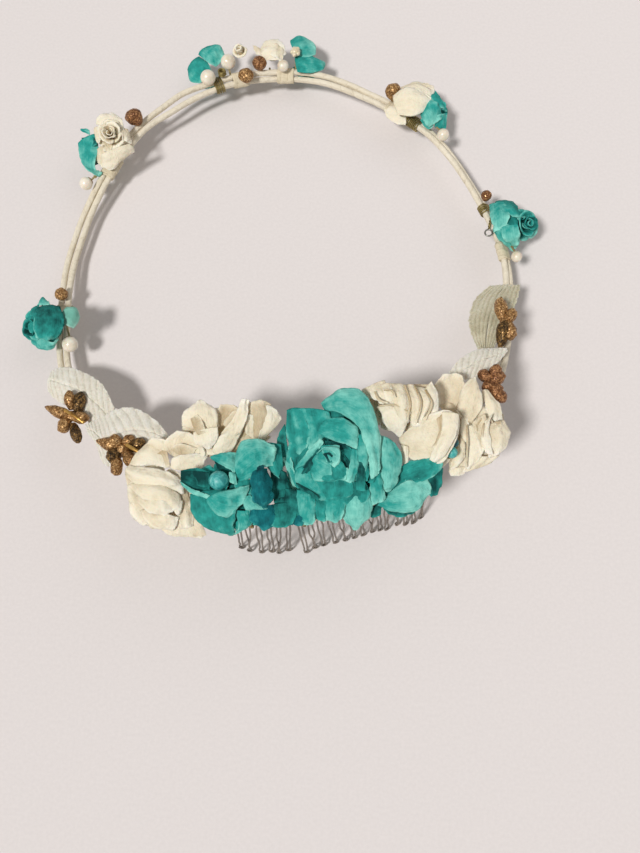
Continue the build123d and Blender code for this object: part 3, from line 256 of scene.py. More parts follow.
        ([(29.76, -44.27, 49.6, 30.21, -43.99, 49.6), (35.05, -44.23, 50.0, 35.34, -43.84, 50.0), (39.27, -46.29, 49.0, 39.64, -45.98, 49.0)], {'tone': -0.45, 'bulge': 0.1, 'crumple': 0.2}),
    ],
    "ivory_cup": [
        ([(36.3, -52.42, 44, 37.87, -54.73, 42.5), (40.21, -49.3, 46.5, 39.59, -58.49, 43.5), (45.69, -46.09, 47.5, 43.95, -59.7, 43.5), (50.5, -44.99, 48, 49.27, -59.69, 44), (54.01, -46.5, 47.5, 51.32, -56.59, 45.5)], {'tone': -0.05, 'bulge': -1.0, 'crumple': 0.25}),
        ([(48.9, -45.61, 49, 53.89, -46.11, 48.5), (48.91, -50.22, 48, 53.44, -50.52, 48), (46.95, -55.52, 46.5, 50.39, -57.08, 46.5), (45.29, -59.37, 45, 47.95, -60.17, 45)], {'tone': 0.1, 'bulge': 1.0}),
        ([(47.31, -47.51, 47.8, 49.04, -46.11, 48.8), (47.9, -51.53, 47.2, 48.92, -50.72, 47.8), (45.91, -56.01, 46.2, 47.05, -55.81, 46.8)], {'tone': -0.5, 'bulge': 0.2}),
        ([(36.76, -54.67, 44, 39.01, -55.27, 44.5), (37.14, -60.22, 42.5, 38.86, -60.67, 43)], {'tone': 0.1, 'bulge': 0.5}),
    ],
    "ivory_right": [
        ([(48.34, -39.73, 37, 54.28, -40.85, 37), (47.76, -34.32, 39, 56.94, -34.23, 39), (50.38, -30.22, 39.5, 56.48, -30.54, 39.5)], {'tone': -0.18, 'bulge': -0.8}),
        ([(54.45, -41.82, 40, 58.94, -46.42, 40), (55.74, -36.85, 41.2, 62.08, -40.75, 41), (58.25, -32.91, 42, 61.4, -35.97, 42), (59.64, -32.53, 42, 60.46, -33.04, 42)], {'tone': -0.08, 'bulge': 1.0}),
        ([(53.69, -41.98, 40.5, 56.89, -43.7, 40.5), (56.16, -44.84, 39.5, 58.45, -46.71, 39.5)], {'tone': 0.1, 'bulge': 0.4}),
        ([(62.5, -35.34, 38.5, 64.55, -34.73, 38.5), (63.53, -39.92, 38.5, 68.32, -40.44, 38), (63.38, -44.37, 37.5, 68.67, -44.31, 37.5)], {'tone': 0.05, 'bulge': 0.9}),
        ([(62.49, -46.69, 41.5, 65.13, -43.78, 41.5), (61.52, -51.14, 41.5, 63.85, -48.26, 42), (62.54, -55.32, 40.5, 64.72, -56.63, 41)], {'tone': 0.15, 'bulge': 0.7}),
        ([(58.87, -46.43, 40.5, 63.02, -43.5, 41), (60.02, -51.01, 41, 63.62, -47.4, 41.5), (61.73, -56.34, 39.8, 63.78, -50.82, 41)], {'tone': -0.12, 'bulge': -0.5}),
        ([(63.86, -47.09, 40.5, 68.89, -45.3, 40), (63.25, -52.4, 41, 70.34, -48.88, 39.5), (64.08, -57.02, 39, 69.5, -53.27, 38.5)], {'bulge': 1.4}),
        ([(57.32, -47.74, 40.5, 58.92, -47.15, 41), (57.32, -54.76, 39, 61.73, -55.55, 39.5), (57.3, -59.64, 37, 58.39, -59.91, 37)], {'tone': 0.1, 'bulge': 0.6}),
        ([(61.79, -56.21, 38.5, 67.52, -55.66, 37.5), (57.71, -59.67, 36, 65.57, -57.0, 36.5), (56.99, -60.43, 35, 62.22, -58.92, 35.5)], {'bulge': 0.8}),
        ([(52.95, -57.09, 36, 56.97, -47.58, 39), (52.16, -60.21, 35, 57.12, -56.37, 37)], {'tone': -0.12, 'bulge': 0.6}),
        ([(52.03, -59.58, 34.5, 57.8, -59.05, 35.5), (52.8, -61.26, 33.5, 57.26, -60.61, 34)], {'tone': 0.05, 'bulge': 0.5}),
        ([(52.54, -45.12, 36, 59.39, -45.36, 37), (52.18, -53.59, 35, 59.27, -53.78, 36), (52.41, -60.67, 34, 58.58, -59.89, 34.6)], {'tone': -0.12, 'bulge': 0.6}),
        ([(58.08, -42.44, 37, 69.44, -42.0, 36), (57.19, -53.8, 36, 69.11, -52.09, 35.5), (57.95, -58.44, 34.5, 65.61, -57.27, 34.5)], {'tone': -0.3, 'bulge': 0.5}),
        # thin dark strips: painted shadow lines between the petals
        ([(56.92, -47.74, 42.4, 57.22, -47.74, 42.4), (56.77, -54.08, 42.2, 57.11, -54.08, 42.2), (56.91, -59.93, 38.8, 57.2, -60.05, 38.8)], {'tone': -0.45, 'bulge': 0.1, 'crumple': 0.2}),
        ([(62.02, -47.15, 43.0, 62.32, -47.15, 43.0), (61.09, -51.6, 43.0, 61.46, -51.68, 43.0)], {'tone': -0.45, 'bulge': 0.1, 'crumple': 0.2}),
        ([(65.62, -46.72, 42.33, 67.56, -46.02, 41.67), (65.86, -47.56, 42.285000000000004, 67.82, -46.83, 41.51500000000001)], {'tone': -0.4, 'bulge': 0.1, 'crumple': 0.2}),
        ([(49.19, -39.28, 37, 55.32, -39.35, 37.4), (51.11, -42.45, 36.8, 57.36, -42.51, 37.2), (52.62, -45.98, 36.4, 59.4, -46.03, 36.8)], {'tone': -0.3, 'bulge': 0.4}),
    ],
    "leaf_left_rear": [
        ([(-58.58, -35.56, 19, -61.16, -43.74, 19), (-63.33, -27.19, 18, -67.1, -40.5, 18), (-69.49, -22.67, 17, -73.71, -35.5, 17), (-77.01, -19.85, 15.5, -79.51, -32.66, 15.5), (-82.5, -20.32, 14.2, -83.28, -28.94, 14.2), (-84.42, -23.37, 13.6, -84.28, -26.29, 13.6)], {}),
    ],
    "leaf_left_front": [
        ([(-37.14, -48.36, 27.5, -38.31, -50.3, 27.5), (-42.15, -42.49, 27, -43.3, -51.24, 27), (-49.35, -37.81, 26, -51.26, -53.92, 26), (-56.08, -37.56, 25, -55.26, -58.24, 26), (-60.6, -39.95, 24, -58.8, -57.02, 25), (-64.36, -41.79, 23, -62.57, -49.39, 24), (-66.84, -42.93, 22.5, -65.94, -45.87, 22.5)], {}),
    ],
    "leaf_right_rear": [
        ([(64.65, -15.18, 22, 69.42, -14.99, 22.5), (62.46, -8.07, 20, 73.16, -8.41, 21), (62.17, -1.26, 18, 77.12, -0.39, 19), (64.92, 7.07, 16, 80.02, 6.59, 17), (70.42, 12.4, 15, 81.59, 12.96, 15)], {}),
    ],
    "leaf_right_front": [
        ([(53.46, -26.3, 31, 55.1, -27.0, 31), (56.82, -21.45, 30, 60.02, -28.81, 30.5), (63.0, -17.32, 28.5, 64.45, -26.57, 29), (68.54, -16.22, 27, 69.55, -22.06, 27.5), (73.38, -15.67, 26, 73.59, -16.92, 26)], {}),
    ],
    "main_bud": [
        ([(9.29, -63.52, 49.5, 12.85, -58.39, 51), (11.12, -66.78, 49, 17.05, -57.71, 51.5), (14.95, -67.11, 49, 18.26, -60.61, 51)], {'tone': 0.15, 'bulge': 1.0, 'crumple': 0.6}),
        ([(12.7, -57.31, 51.5, 18.22, -57.24, 51.5), (13.57, -60.32, 52, 17.83, -61.41, 52), (15.13, -62.69, 51, 17.1, -62.14, 51)], {'tone': 0.25, 'bulge': 0.6}),
        ([(14.4, -63.71, 50.5, 17.82, -60.75, 51.5), (15.54, -66.62, 49.5, 20.05, -63.64, 50.5), (17.15, -67.09, 49, 20.81, -65.65, 49.5)], {'tone': -0.1, 'bulge': 0.6}),
        ([(18.22, -58.21, 50, 22.07, -58.16, 50), (18.05, -61.9, 49.5, 21.75, -63.37, 49.5), (19.18, -64.79, 49, 21.25, -65.53, 49)], {'tone': -0.15, 'bulge': -0.4}),
        ([(11.51, -59.89, 52, 12.96, -58.56, 52.2), (13.55, -58.66, 52.6, 14.57, -57.89, 52.6), (16.64, -59.39, 52.6, 18.09, -58.56, 52.4), (17.1, -61.29, 52.4, 18.42, -61.47, 52), (15.81, -63.01, 52, 16.69, -63.96, 51.6)], {'tone': 0.35, 'bulge': 0.5, 'crumple': 0.5}),
        ([(13.42, -59.95, 52.3, 15.18, -59.53, 52.5), (14.47, -61.3, 52.3, 16.51, -60.87, 52.5), (14.92, -62.42, 52, 16.09, -62.26, 52)], {'tone': -0.6, 'bulge': -0.2, 'crumple': 0.3}),
    ],
    "left_rose": [
        ([(-93.2, 3.22, 13, -82.26, 3.26, 15), (-93.72, -3.57, 13, -80.29, -4.24, 16), (-91.57, -9.86, 12, -83.2, -9.85, 13)], {'tone': -0.45, 'bulge': 1}),
        ([(-88.8, 0.76, 20.4, -81.05, 0.99, 20.4), (-87.83, -6.22, 22.8, -78.02, -5.3, 22), (-86.48, -11.72, 20.8, -79.71, -10.66, 20.8)], {'tone': -0.26, 'bulge': 1.6, 'crumple': 0.9}),
        ([(-92.46, 1.4, 15.5, -88.94, 2.8, 17.8), (-92.75, -3.78, 15.5, -88.04, -4.5, 20.2), (-91.61, -9.0, 14.5, -87.3, -9.9, 18)], {'tone': -0.1, 'bulge': 0.6}),
        ([(-89.8, -0.57, 18.4, -87.82, -0.41, 19.6), (-89.5, -5.86, 19.4, -87.04, -6.11, 21), (-89.04, -9.75, 17.6, -86.81, -9.89, 19)], {'tone': 0.1, 'bulge': 0.5}),
        ([(-91.08, -9.2, 14.6, -87.06, -9.05, 17.6), (-89.21, -12.12, 13, -84.85, -10.48, 16.6), (-84.85, -12.42, 13, -82.98, -10.72, 16.4), (-82.2, -9.92, 13.6, -81.7, -8.77, 16.6)], {'tone': 0.22, 'bulge': 0.8}),
        ([(-90.27, 7.63, 13, -89.27, 7.46, 13), (-91.17, 4.25, 15, -85.2, 2.85, 17)], {'tone': 0.15}),
    ],
    "left_pale": [
        ([(-80.88, -3.33, 19, -78.42, 1.16, 19.5), (-77.54, -5.94, 20, -75.11, 0.53, 20), (-75.63, -6.64, 18.5, -73.87, -2.04, 18.5)], {'bulge': 1.2, 'crumple': 0.1}),
    ],
    "upper_left_rose": [
        ([(-75.34, 76.73, 18, -64.52, 74.75, 19), (-75.1, 80.17, 18, -66.08, 78.85, 18.5), (-73.4, 81.31, 17.5, -68.74, 81.18, 17.5)], {'tone': 0.2, 'bulge': 0.8}),
        ([(-72.27, 64.14, 18, -61.49, 67.27, 20), (-72.41, 61.48, 14.5, -60.81, 66.42, 16.5), (-70.91, 60.26, 13.5, -65.81, 63.99, 14.5)], {'tone': 0.1, 'bulge': 1.5}),
        ([(-75.4, 67.08, 15.5, -72.12, 68.36, 17.5), (-75.28, 64.31, 14, -71.05, 63.94, 15.5), (-73.22, 61.5, 13.5, -70.8, 61.51, 13.5)], {'tone': -0.1}),
        ([(-76.84, 76.37, 16, -73.61, 75.54, 18.5), (-76.04, 70.65, 16, -73.22, 68.3, 18.5)], {'tone': 0}),
        ([(-65.74, 74.87, 19, -63.48, 75.03, 17), (-64.46, 69.14, 20, -61.87, 68.71, 17)], {'tone': -0.05}),
        ([(-73.29, 70.1, 16.8, -68.89, 69.47, 16.8), (-72.52, 66.48, 16.2, -69.31, 66.23, 16.2)], {'tone': -0.2, 'bulge': 0.3}),
    ],
    "upper_left_teal": [
        ([(-82.81, 70.89, 15, -76.2, 73.56, 17), (-81.87, 66.82, 14, -74.53, 68.63, 16), (-80.76, 63.73, 12, -75.59, 61.17, 14), (-75.93, 59.68, 10, -73.34, 60.93, 11)], {'bulge': 1.4, 'tone': 0.1}),
        ([(-82.68, 77.91, 14, -82.17, 76.76, 14), (-78.69, 76.56, 15, -78.8, 74.71, 15)], {'tone': 0.1}),
        ([(-81.29, 72.42, 16, -76.37, 72.48, 17), (-78.66, 69.25, 16, -74.47, 68.23, 17.5)], {'tone': -0.45, 'bulge': -0.3}),
    ],
    "top_teal_a": [
        ([(-39.9, 114.03, 11, -36.64, 117.33, 12), (-35.6, 109.22, 13, -31.86, 117.0, 13), (-32.58, 107.93, 12, -29.42, 113.39, 12)], {'bulge': 1.0, 'tone': 0.1, 'crumple': 0.15}),
        ([(-44.6, 109.6, 8, -39.89, 114.22, 10), (-42.82, 103.93, 8.5, -36.11, 109.6, 11.5), (-39.36, 102.38, 9, -34.51, 106.64, 11)], {'bulge': 1.0, 'crumple': 0.15}),
    ],
    "top_teal_b": [
        ([(-3.61, 120.2, 12, -1.42, 113.32, 13), (0.03, 122.65, 11.5, 2.36, 110.8, 13.5), (4.69, 120.49, 11, 6.32, 112.67, 12.5)], {'bulge': 1.0, 'tone': 0.1, 'crumple': 0.15}),
        ([(-1.55, 111.64, 13, -0.27, 104.05, 13.5), (2.96, 113.1, 12.5, 4.24, 104.13, 13), (6.66, 111.81, 11.5, 9.06, 106.17, 12), (9.31, 110.64, 11, 9.88, 108.12, 11)], {'bulge': 1.0, 'crumple': 0.15}),
    ],
    "top_ivory": [
        ([(-15.48, 112.75, 15, -12.4, 107.54, 16), (-12.9, 117.79, 14.5, -7.79, 106.92, 17), (-8.34, 118.3, 14.5, -4.77, 109.39, 16.5)], {'bulge': 1.0, 'tone': 0.15}),
        ([(-9.13, 115.03, 16.5, -5.71, 111.68, 16.5), (-10.41, 108.78, 17.5, -5.85, 105.88, 17)], {'bulge': 0.5}),
        ([(-18.16, 115.91, 14, -15.35, 114.0, 15), (-16.54, 110.87, 15, -13.36, 110.03, 16)], {'tone': -0.1}),
    ],
    "ur_ivory": [
        ([(36.63, 91.27, 16, 38.51, 83.44, 15), (41.32, 92.75, 18.5, 43.88, 81.85, 16.5), (47.25, 91.13, 18, 47.86, 83.82, 16.5), (50.24, 89.78, 16.5, 50.22, 86.17, 16)], {'bulge': 1.6, 'tone': 0.1, 'crumple': 0.2}),
        ([(39.64, 94.99, 16, 41.21, 91.12, 17.5), (45.85, 97.6, 15.5, 46.41, 91.23, 18), (52.5, 96.14, 14.5, 50.85, 88.9, 17)], {'bulge': 0.8}),
        ([(44.0, 97.48, 15, 45.78, 95.28, 16), (50.44, 98.25, 14, 52.49, 94.03, 15)], {'tone': -0.2}),
        ([(33.36, 90.21, 11, 34.77, 85.69, 10), (37.41, 88.78, 12.5, 38.34, 82.72, 10.5), (41.52, 85.44, 12, 41.56, 81.86, 11)], {'tone': 0.1, 'bulge': 0.7, 'crumple': 0.2}),
    ],
    "ur_teal": [
        ([(46.83, 85.23, 15, 49.83, 88.4, 17), (47.94, 80.34, 16, 53.17, 85.79, 18.5), (50.31, 78.37, 14.5, 55.55, 82.51, 16)], {'tone': 0.1, 'bulge': 1.0}),
        ([(50.78, 93.43, 15, 52.83, 93.93, 15), (51.1, 88.7, 17, 55.17, 88.46, 16), (53.15, 85.52, 17, 57.21, 85.39, 14.5)], {'tone': -0.1, 'bulge': 0.6}),
        ([(52.31, 78.83, 14, 56.61, 78.81, 12.5), (53.07, 81.78, 17, 57.06, 83.97, 14)], {'tone': 0, 'bulge': 0.6}),
        ([(47.21, 82.51, 13, 50.25, 78.81, 12.5), (48.98, 82.51, 16, 51.97, 78.73, 14)], {'tone': 0.15, 'bulge': 0.6}),
    ],
    "right_rose": [
        ([(71.74, 45.61, 14, 76.85, 45.54, 16), (71.94, 37.82, 16, 77.82, 39.01, 19), (73.16, 33.67, 15, 76.93, 34.79, 18.5)], {'tone': 0.2, 'bulge': 1.0}),
        ([(72.57, 35.32, 14, 75.35, 36.87, 18), (75.62, 30.62, 14, 79.14, 32.72, 19), (80.25, 28.28, 11, 81.86, 30.46, 15)], {'tone': 0.15, 'bulge': 1.2}),
        ([(74.98, 33.88, 18.5, 80.6, 33.95, 20), (75.78, 29.79, 17.5, 81.04, 30.94, 19), (79.63, 28.75, 14.5, 81.14, 29.29, 16)], {'tone': 0.2, 'bulge': 0.8}),
        ([(74.0, 47.14, 13, 80.91, 47.82, 13), (76.29, 40.32, 18, 82.29, 41.11, 17), (79.21, 37.93, 19, 84.04, 38.67, 16.5)], {'tone': -0.1, 'bulge': 0.8}),
        ([(76.23, 41.57, 16.8, 80.6, 41.95, 16.8), (76.31, 37.33, 17.2, 81.28, 37.35, 17.2), (76.24, 33.94, 16.8, 80.64, 33.96, 16.8)], {'tone': -0.3, 'bulge': 0.4}),
    ],
}
SPOTS = {
    "rod1a": (-74.82, -37.23, 21),
    "rod1b": (-67.84, -41.8, 21.5),
    "rod2a": (-50.48, -51.75, 30),
    "rod2b": (-45.23, -54.86, 31),
    "bead": (-17.66, -66.94, 46.5),
    "rough": (-4.91, -67.67, 45),
    "budM": (15.3, -62.06, 48.5),
    "budR1": (-39.31, -72.19, 31.5),
    "budR3": (34.43, -40.35, 48),
    "budR5": (67.27, -48.81, 35),
    "beadR": (52.39, -56.16, 41.5),
    "beadR2": (53.31, -52.84, 40.5),
    "olive_a": (51.5, -60.04, 40),
    "olive_b": (49.59, -63.82, 39),
    "lobe_left_rear_0a": (-74.3, -38.68, 19.5),
    "lobe_left_rear_0b": (-81.57, -35.91, 19.1),
    "lobe_left_rear_1a": (-73.34, -35.87, 19.5),
    "lobe_left_rear_1b": (-74.29, -30.87, 20.1),
    "lobe_left_rear_2a": (-71.14, -37.14, 19.5),
    "lobe_left_rear_2b": (-70.6, -31.15, 19.1),
    "lobe_left_rear_3a": (-72.13, -39.73, 19.5),
    "lobe_left_rear_3b": (-67.65, -39.44, 20.1),
    "lobe_left_rear_4a": (-74.15, -40.18, 19.5),
    "lobe_left_rear_4b": (-75.74, -43.93, 19.1),
    "lobe_left_rear_5a": (-71.91, -41.87, 19.5),
    "lobe_left_rear_5b": (-69.51, -47.75, 20.1),
    "lobe_left_front_0a": (-54.13, -51.64, 28.0),
    "lobe_left_front_0b": (-60.34, -49.97, 27.6),
    "lobe_left_front_1a": (-53.41, -50.82, 28.0),
    "lobe_left_front_1b": (-55.79, -49.05, 28.6),
    "lobe_left_front_2a": (-53.99, -53.27, 28.0),
    "lobe_left_front_2b": (-55.83, -56.02, 27.6),
    "lobe_left_front_3a": (-50.77, -54.04, 28.0),
    "lobe_left_front_3b": (-48.36, -57.8, 28.6),
    "lobe_left_front_4a": (-53.75, -56.1, 28.0),
    "lobe_left_front_4b": (-53.66, -60.63, 27.6),
    "lobe_left_front_5a": (-49.36, -52.0, 28.0),
    "lobe_left_front_5b": (-45.58, -50.49, 28.6),
    "lobe_left_front_6a": (-51.86, -50.39, 28.0),
    "lobe_left_front_6b": (-49.28, -49.23, 27.6),
    "lobe_right_rear_0a": (72.53, -4.27, 25.0),
    "lobe_right_rear_0b": (72.33, 2.4, 24.6),
    "lobe_right_rear_1a": (74.09, -5.42, 25.0),
    "lobe_right_rear_1b": (76.27, -2.16, 25.6),
    "lobe_right_rear_2a": (73.51, -6.6, 25.0),
    "lobe_right_rear_2b": (71.67, -13.97, 24.6),
    "lobe_right_rear_3a": (74.6, -6.0, 25.0),
    "lobe_right_rear_3b": (75.06, -11.47, 25.6),
    "lobe_right_front_0a": (66.32, -29.54, 34.5),
    "lobe_right_front_0b": (63.13, -27.79, 34.1),
    "lobe_right_front_1a": (66.85, -28.99, 34.5),
    "lobe_right_front_1b": (68.39, -25.93, 35.1),
    "lobe_right_front_2a": (66.79, -30.62, 34.5),
    "lobe_right_front_2b": (70.0, -28.27, 34.1),
    "lobe_right_front_3a": (66.73, -32.24, 34.5),
    "lobe_right_front_3b": (68.83, -34.04, 35.1),
    "lobe_right_front_4a": (66.67, -33.85, 34.5),
    "lobe_right_front_4b": (70.42, -36.36, 34.1),
    "lobe_right_front_5a": (65.73, -31.71, 34.5),
    "lobe_right_front_5b": (64.58, -33.01, 35.1),
    "c_left_rose": (-88.09, -1.86, 9.5),
    "c_ul_rose": (-69.81, 73.92, 14.5),
    "c_top1": (-23.36, 115.28, 13),
    "c_top2": (-10.6, 114.69, 11),
    "c_ur_ivory": (44.37, 91.85, 11.5),
    "c_ur_teal": (52.55, 87.04, 10.5),
    "c_right_rose": (81.66, 39.0, 9.5),
    "pearl1": (-34.52, 99.16, 16.5),
    "pearl2": (-27.23, 107.07, 15.6),
    "pearl3": (-5.85, 105.33, 15.4),
}


# ------------------------------------------------------------------ small maths
def unit(v):
    v = np.asarray(v, float)
    return v / np.maximum(np.linalg.norm(v, axis=-1, keepdims=True), 1e-12)


def hash01(ix, iy, iz, seed):
    h = (ix * 374761393 + iy * 668265263 + iz * 2147483647 + seed * 974711) & 0xFFFFFFFF
    h = ((h ^ (h >> 13)) * 1274126177) & 0xFFFFFFFF
    h = (h ^ (h >> 16)) & 0xFFFFFFFF
    return h / 4294967295.0


def vnoise(p, seed=0):
    """Smooth value noise from -1 to 1 at points p."""
    p = np.asarray(p, float)
    i = np.floor(p).astype(np.int64)
    f = p - i
    f = f * f * (3 - 2 * f)
    out = 0
    for dx in (0, 1):
        for dy in (0, 1):
            for dz in (0, 1):
                w = (f[..., 0] if dx else 1 - f[..., 0]) * (f[..., 1] if dy else 1 - f[..., 1]) * (f[..., 2] if dz else 1 - f[..., 2])
                out = out + w * hash01(i[..., 0] + dx, i[..., 1] + dy, i[..., 2] + dz, seed)
    return out * 2 - 1


def frame_of(axis):
    """Two directions across axis, the first level, as the CAD part has them."""
    z = unit(axis)
    x = np.cross([0, 0, 1], z)
    if np.linalg.norm(x) < 1e-3:
        x = np.array([1.0, 0, 0])
    x = unit(x)
    return x, np.cross(z, x), z


def catmull(points, per, closed=False):
    """A smooth line through points, with per steps in each run."""
    P = np.asarray(points, float)
    if len(P) == 2:
        t = np.linspace(0, 1, per + 1)[:, None]
        return P[0] * (1 - t) + P[1] * t
    if closed:
        Q = np.vstack([P[-1], P, P[0], P[1]])
        runs = len(P)
    else:
        Q = np.vstack([2 * P[0] - P[1], P, 2 * P[-1] - P[-2]])
        runs = len(P) - 1
    out = []
    for k in range(runs):
        a, b, c, d = Q[k : k + 4]
        t = np.linspace(0, 1, per, endpoint=False)[:, None]
        out.append(0.5 * (2 * b + (c - a) * t + (2 * a - 5 * b + 4 * c - d) * t**2 + (3 * b - a - 3 * c + d) * t**3))
    if not closed:
        out.append(P[-1][None])
    return np.vstack(out)


def even(P, step):
    """The same line with points a step apart."""
    d = np.r_[0, np.cumsum(np.linalg.norm(np.diff(P, axis=0), axis=1))]
    n = max(int(round(d[-1] / step)), 2)
    s = np.linspace(0, d[-1], n + 1)
    return np.stack([np.interp(s, d, P[:, k]) for k in range(3)], 1), s


# ------------------------------------------------------------------ meshes
class Piece:
    """Geometry of one object, collected in layout millimetres."""

    def __init__(self):
        self.V, self.F, self.U, self.T, self.E, self.M = [], [], [], [], [], []
        self.n = 0

    def add(self, V, F, U, T, E, m=0):
        self.V.append(np.asarray(V, float))
        self.F.append(np.asarray(F, int) + self.n)
        self.U.append(U)
        self.T.append(np.broadcast_to(T, (len(V),)))
        self.E.append(np.broadcast_to(E, (len(V),)))
        self.M.append(np.full(len(F), m))
        self.n += len(V)

    def build(self, name, mats, nodes=(), body="crown", slot=None):
        V = np.vstack(self.V)
        V = (V - [OX, OY, 0]) / 1000
        V[:, 2] = np.maximum(V[:, 2], 0.00005)
        F = np.vstack(self.F)
        U = np.vstack(self.U)
        me = bpy.data.meshes.new(name)
        me.vertices.add(len(V))
        me.vertices.foreach_set("co", V.ravel())
        me.loops.add(F.size)
        me.loops.foreach_set("vertex_index", F.ravel())
        me.polygons.add(len(F))
        me.polygons.foreach_set("loop_start", np.arange(0, F.size, 4))
        me.polygons.foreach_set("loop_total", np.full(len(F), 4))
        me.polygons.foreach_set("material_index", np.concatenate(self.M))
        me.update(calc_edges=True)
        me.validate()
        uv = me.uv_layers.new(name="UVMap")
        li = np.empty(len(me.loops), int)
        me.loops.foreach_get("vertex_index", li)
        uv.data.foreach_set("uv", U[li].ravel())
        for key, data in (("tone", self.T), ("edge", self.E)):
            a = me.attributes.new(key, "FLOAT", "POINT")
            a.data.foreach_set("value", np.concatenate(data).astype(np.float32))
        me.polygons.foreach_set("use_smooth", np.ones(len(me.polygons), bool))
        ob = bpy.data.objects.new(name, me)
        bpy.context.scene.collection.objects.link(ob)
        for m in mats if isinstance(mats, (list, tuple)) else [mats]:
            me.materials.append(m)
        if nodes:
            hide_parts(*nodes)
        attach(ob, body)
        return ob


def grid_faces(nv, nu, wrap=False):
    i = np.arange((nv - 1) * (nu if wrap else nu - 1))
    w = nu if wrap else nu - 1
    r, c = i // w, i % w
    c2 = (c + 1) % nu
    return np.stack([r * nu + c, r * nu + c2, (r + 1) * nu + c2, (r + 1) * nu + c], 1)


KEEP_CLEAR = []


def shell(pc, G, thick=0.3, tone=0.0, edge=None, crumple=0.4, seed=0, m=0, uv=None, up=None):
    """A closed thin sheet over a grid of points."""
    nv, nu = G.shape[:2]
    du, dv = np.gradient(G, axis=1), np.gradient(G, axis=0)
    n = unit(np.cross(du, dv))
    mid = n[nv // 2, nu // 2]
    if (mid @ (np.array([0, -0.35, 1.0]) if up is None else np.asarray(up, float))) < 0:
        G = G[:, ::-1]
        n = -n[:, ::-1]
        if uv is not None:
            uv = uv[:, ::-1]
        if edge is not None:
            edge = edge[:, ::-1]
        if np.ndim(tone) == 2:
            tone = tone[:, ::-1]
    if edge is None:
        u = np.linspace(-1, 1, nu)[None, :]
        v = np.linspace(0, 1, nv)[:, None]
        edge = np.maximum(np.abs(u) ** 6 * np.minimum(1, v * 1.6), v**8)
    if crumple:
        w = 0.55 + 0.9 * edge
        crease = vnoise(G / 2.6, seed) * 0.6 + vnoise(G / 1.15, seed + 5) * 0.32 + vnoise(G / 0.7, seed + 7) * 0.14
        ragged = np.stack([vnoise(G / 1.7, seed + 9), vnoise(G / 1.7, seed + 11), vnoise(G / 1.7, seed + 13)], -1) * 0.5
        ragged = ragged + np.stack([vnoise(G / 0.6, seed + 15), vnoise(G / 0.6, seed + 17), vnoise(G / 0.6, seed + 19)], -1) * 0.26
        G = G + n * (crease * crumple * w)[..., None] + ragged * (crumple * edge)[..., None]
        # tone follows the crease relief: painted shade in the hollows, painted light on the crests
        tone = tone + 0.13 * crease
        n = unit(np.cross(np.gradient(G, axis=1), np.gradient(G, axis=0)))
    for _ in range(3 if KEEP_CLEAR else 0):
        for c, r in KEEP_CLEAR:
            d = G - c
            far = np.linalg.norm(d, axis=-1, keepdims=True)
            G = np.where(far < r, c + d / np.maximum(far, 1e-6) * r, G)
        n = unit(np.cross(np.gradient(G, axis=1), np.gradient(G, axis=0)))
    if uv is None:
        lu = np.r_[0, np.cumsum(np.linalg.norm(np.diff(G[nv // 2], axis=0), axis=1))]
        lv = np.r_[0, np.cumsum(np.linalg.norm(np.diff(G[:, nu // 2], axis=0), axis=1))]
        uv = np.stack(np.broadcast_arrays(lu[None, :] + seed * 3.7, lv[:, None] + seed * 1.3), -1)
    a, b = G + n * thick / 2, G - n * thick / 2
    N = nv * nu
    F = grid_faces(nv, nu)
    r0, r1 = np.arange(nu), (nv - 1) * nu + np.arange(nu)
    c0, c1 = np.arange(nv) * nu, np.arange(nv) * nu + nu - 1
    sides = []
    for e, flip in ((r0, False), (r1, True), (c0, True), (c1, False)):
        q = np.stack([e[:-1], e[1:], e[1:] + N, e[:-1] + N], 1)
        sides.append(q[:, ::-1] if not flip else q)
    V = np.vstack([a.reshape(-1, 3), b.reshape(-1, 3)])
    F = np.vstack([F, F[:, ::-1] + N] + sides)
    U = np.vstack([uv.reshape(-1, 2)] * 2)
    t = np.broadcast_to(tone, (nv, nu)).ravel()
    E = edge.ravel() * np.ones(N)
    # the back face is 0.12 darker: painted shade on the underside
    pc.add(V, F, U, np.r_[t, t - 0.12], np.r_[E, E], m)


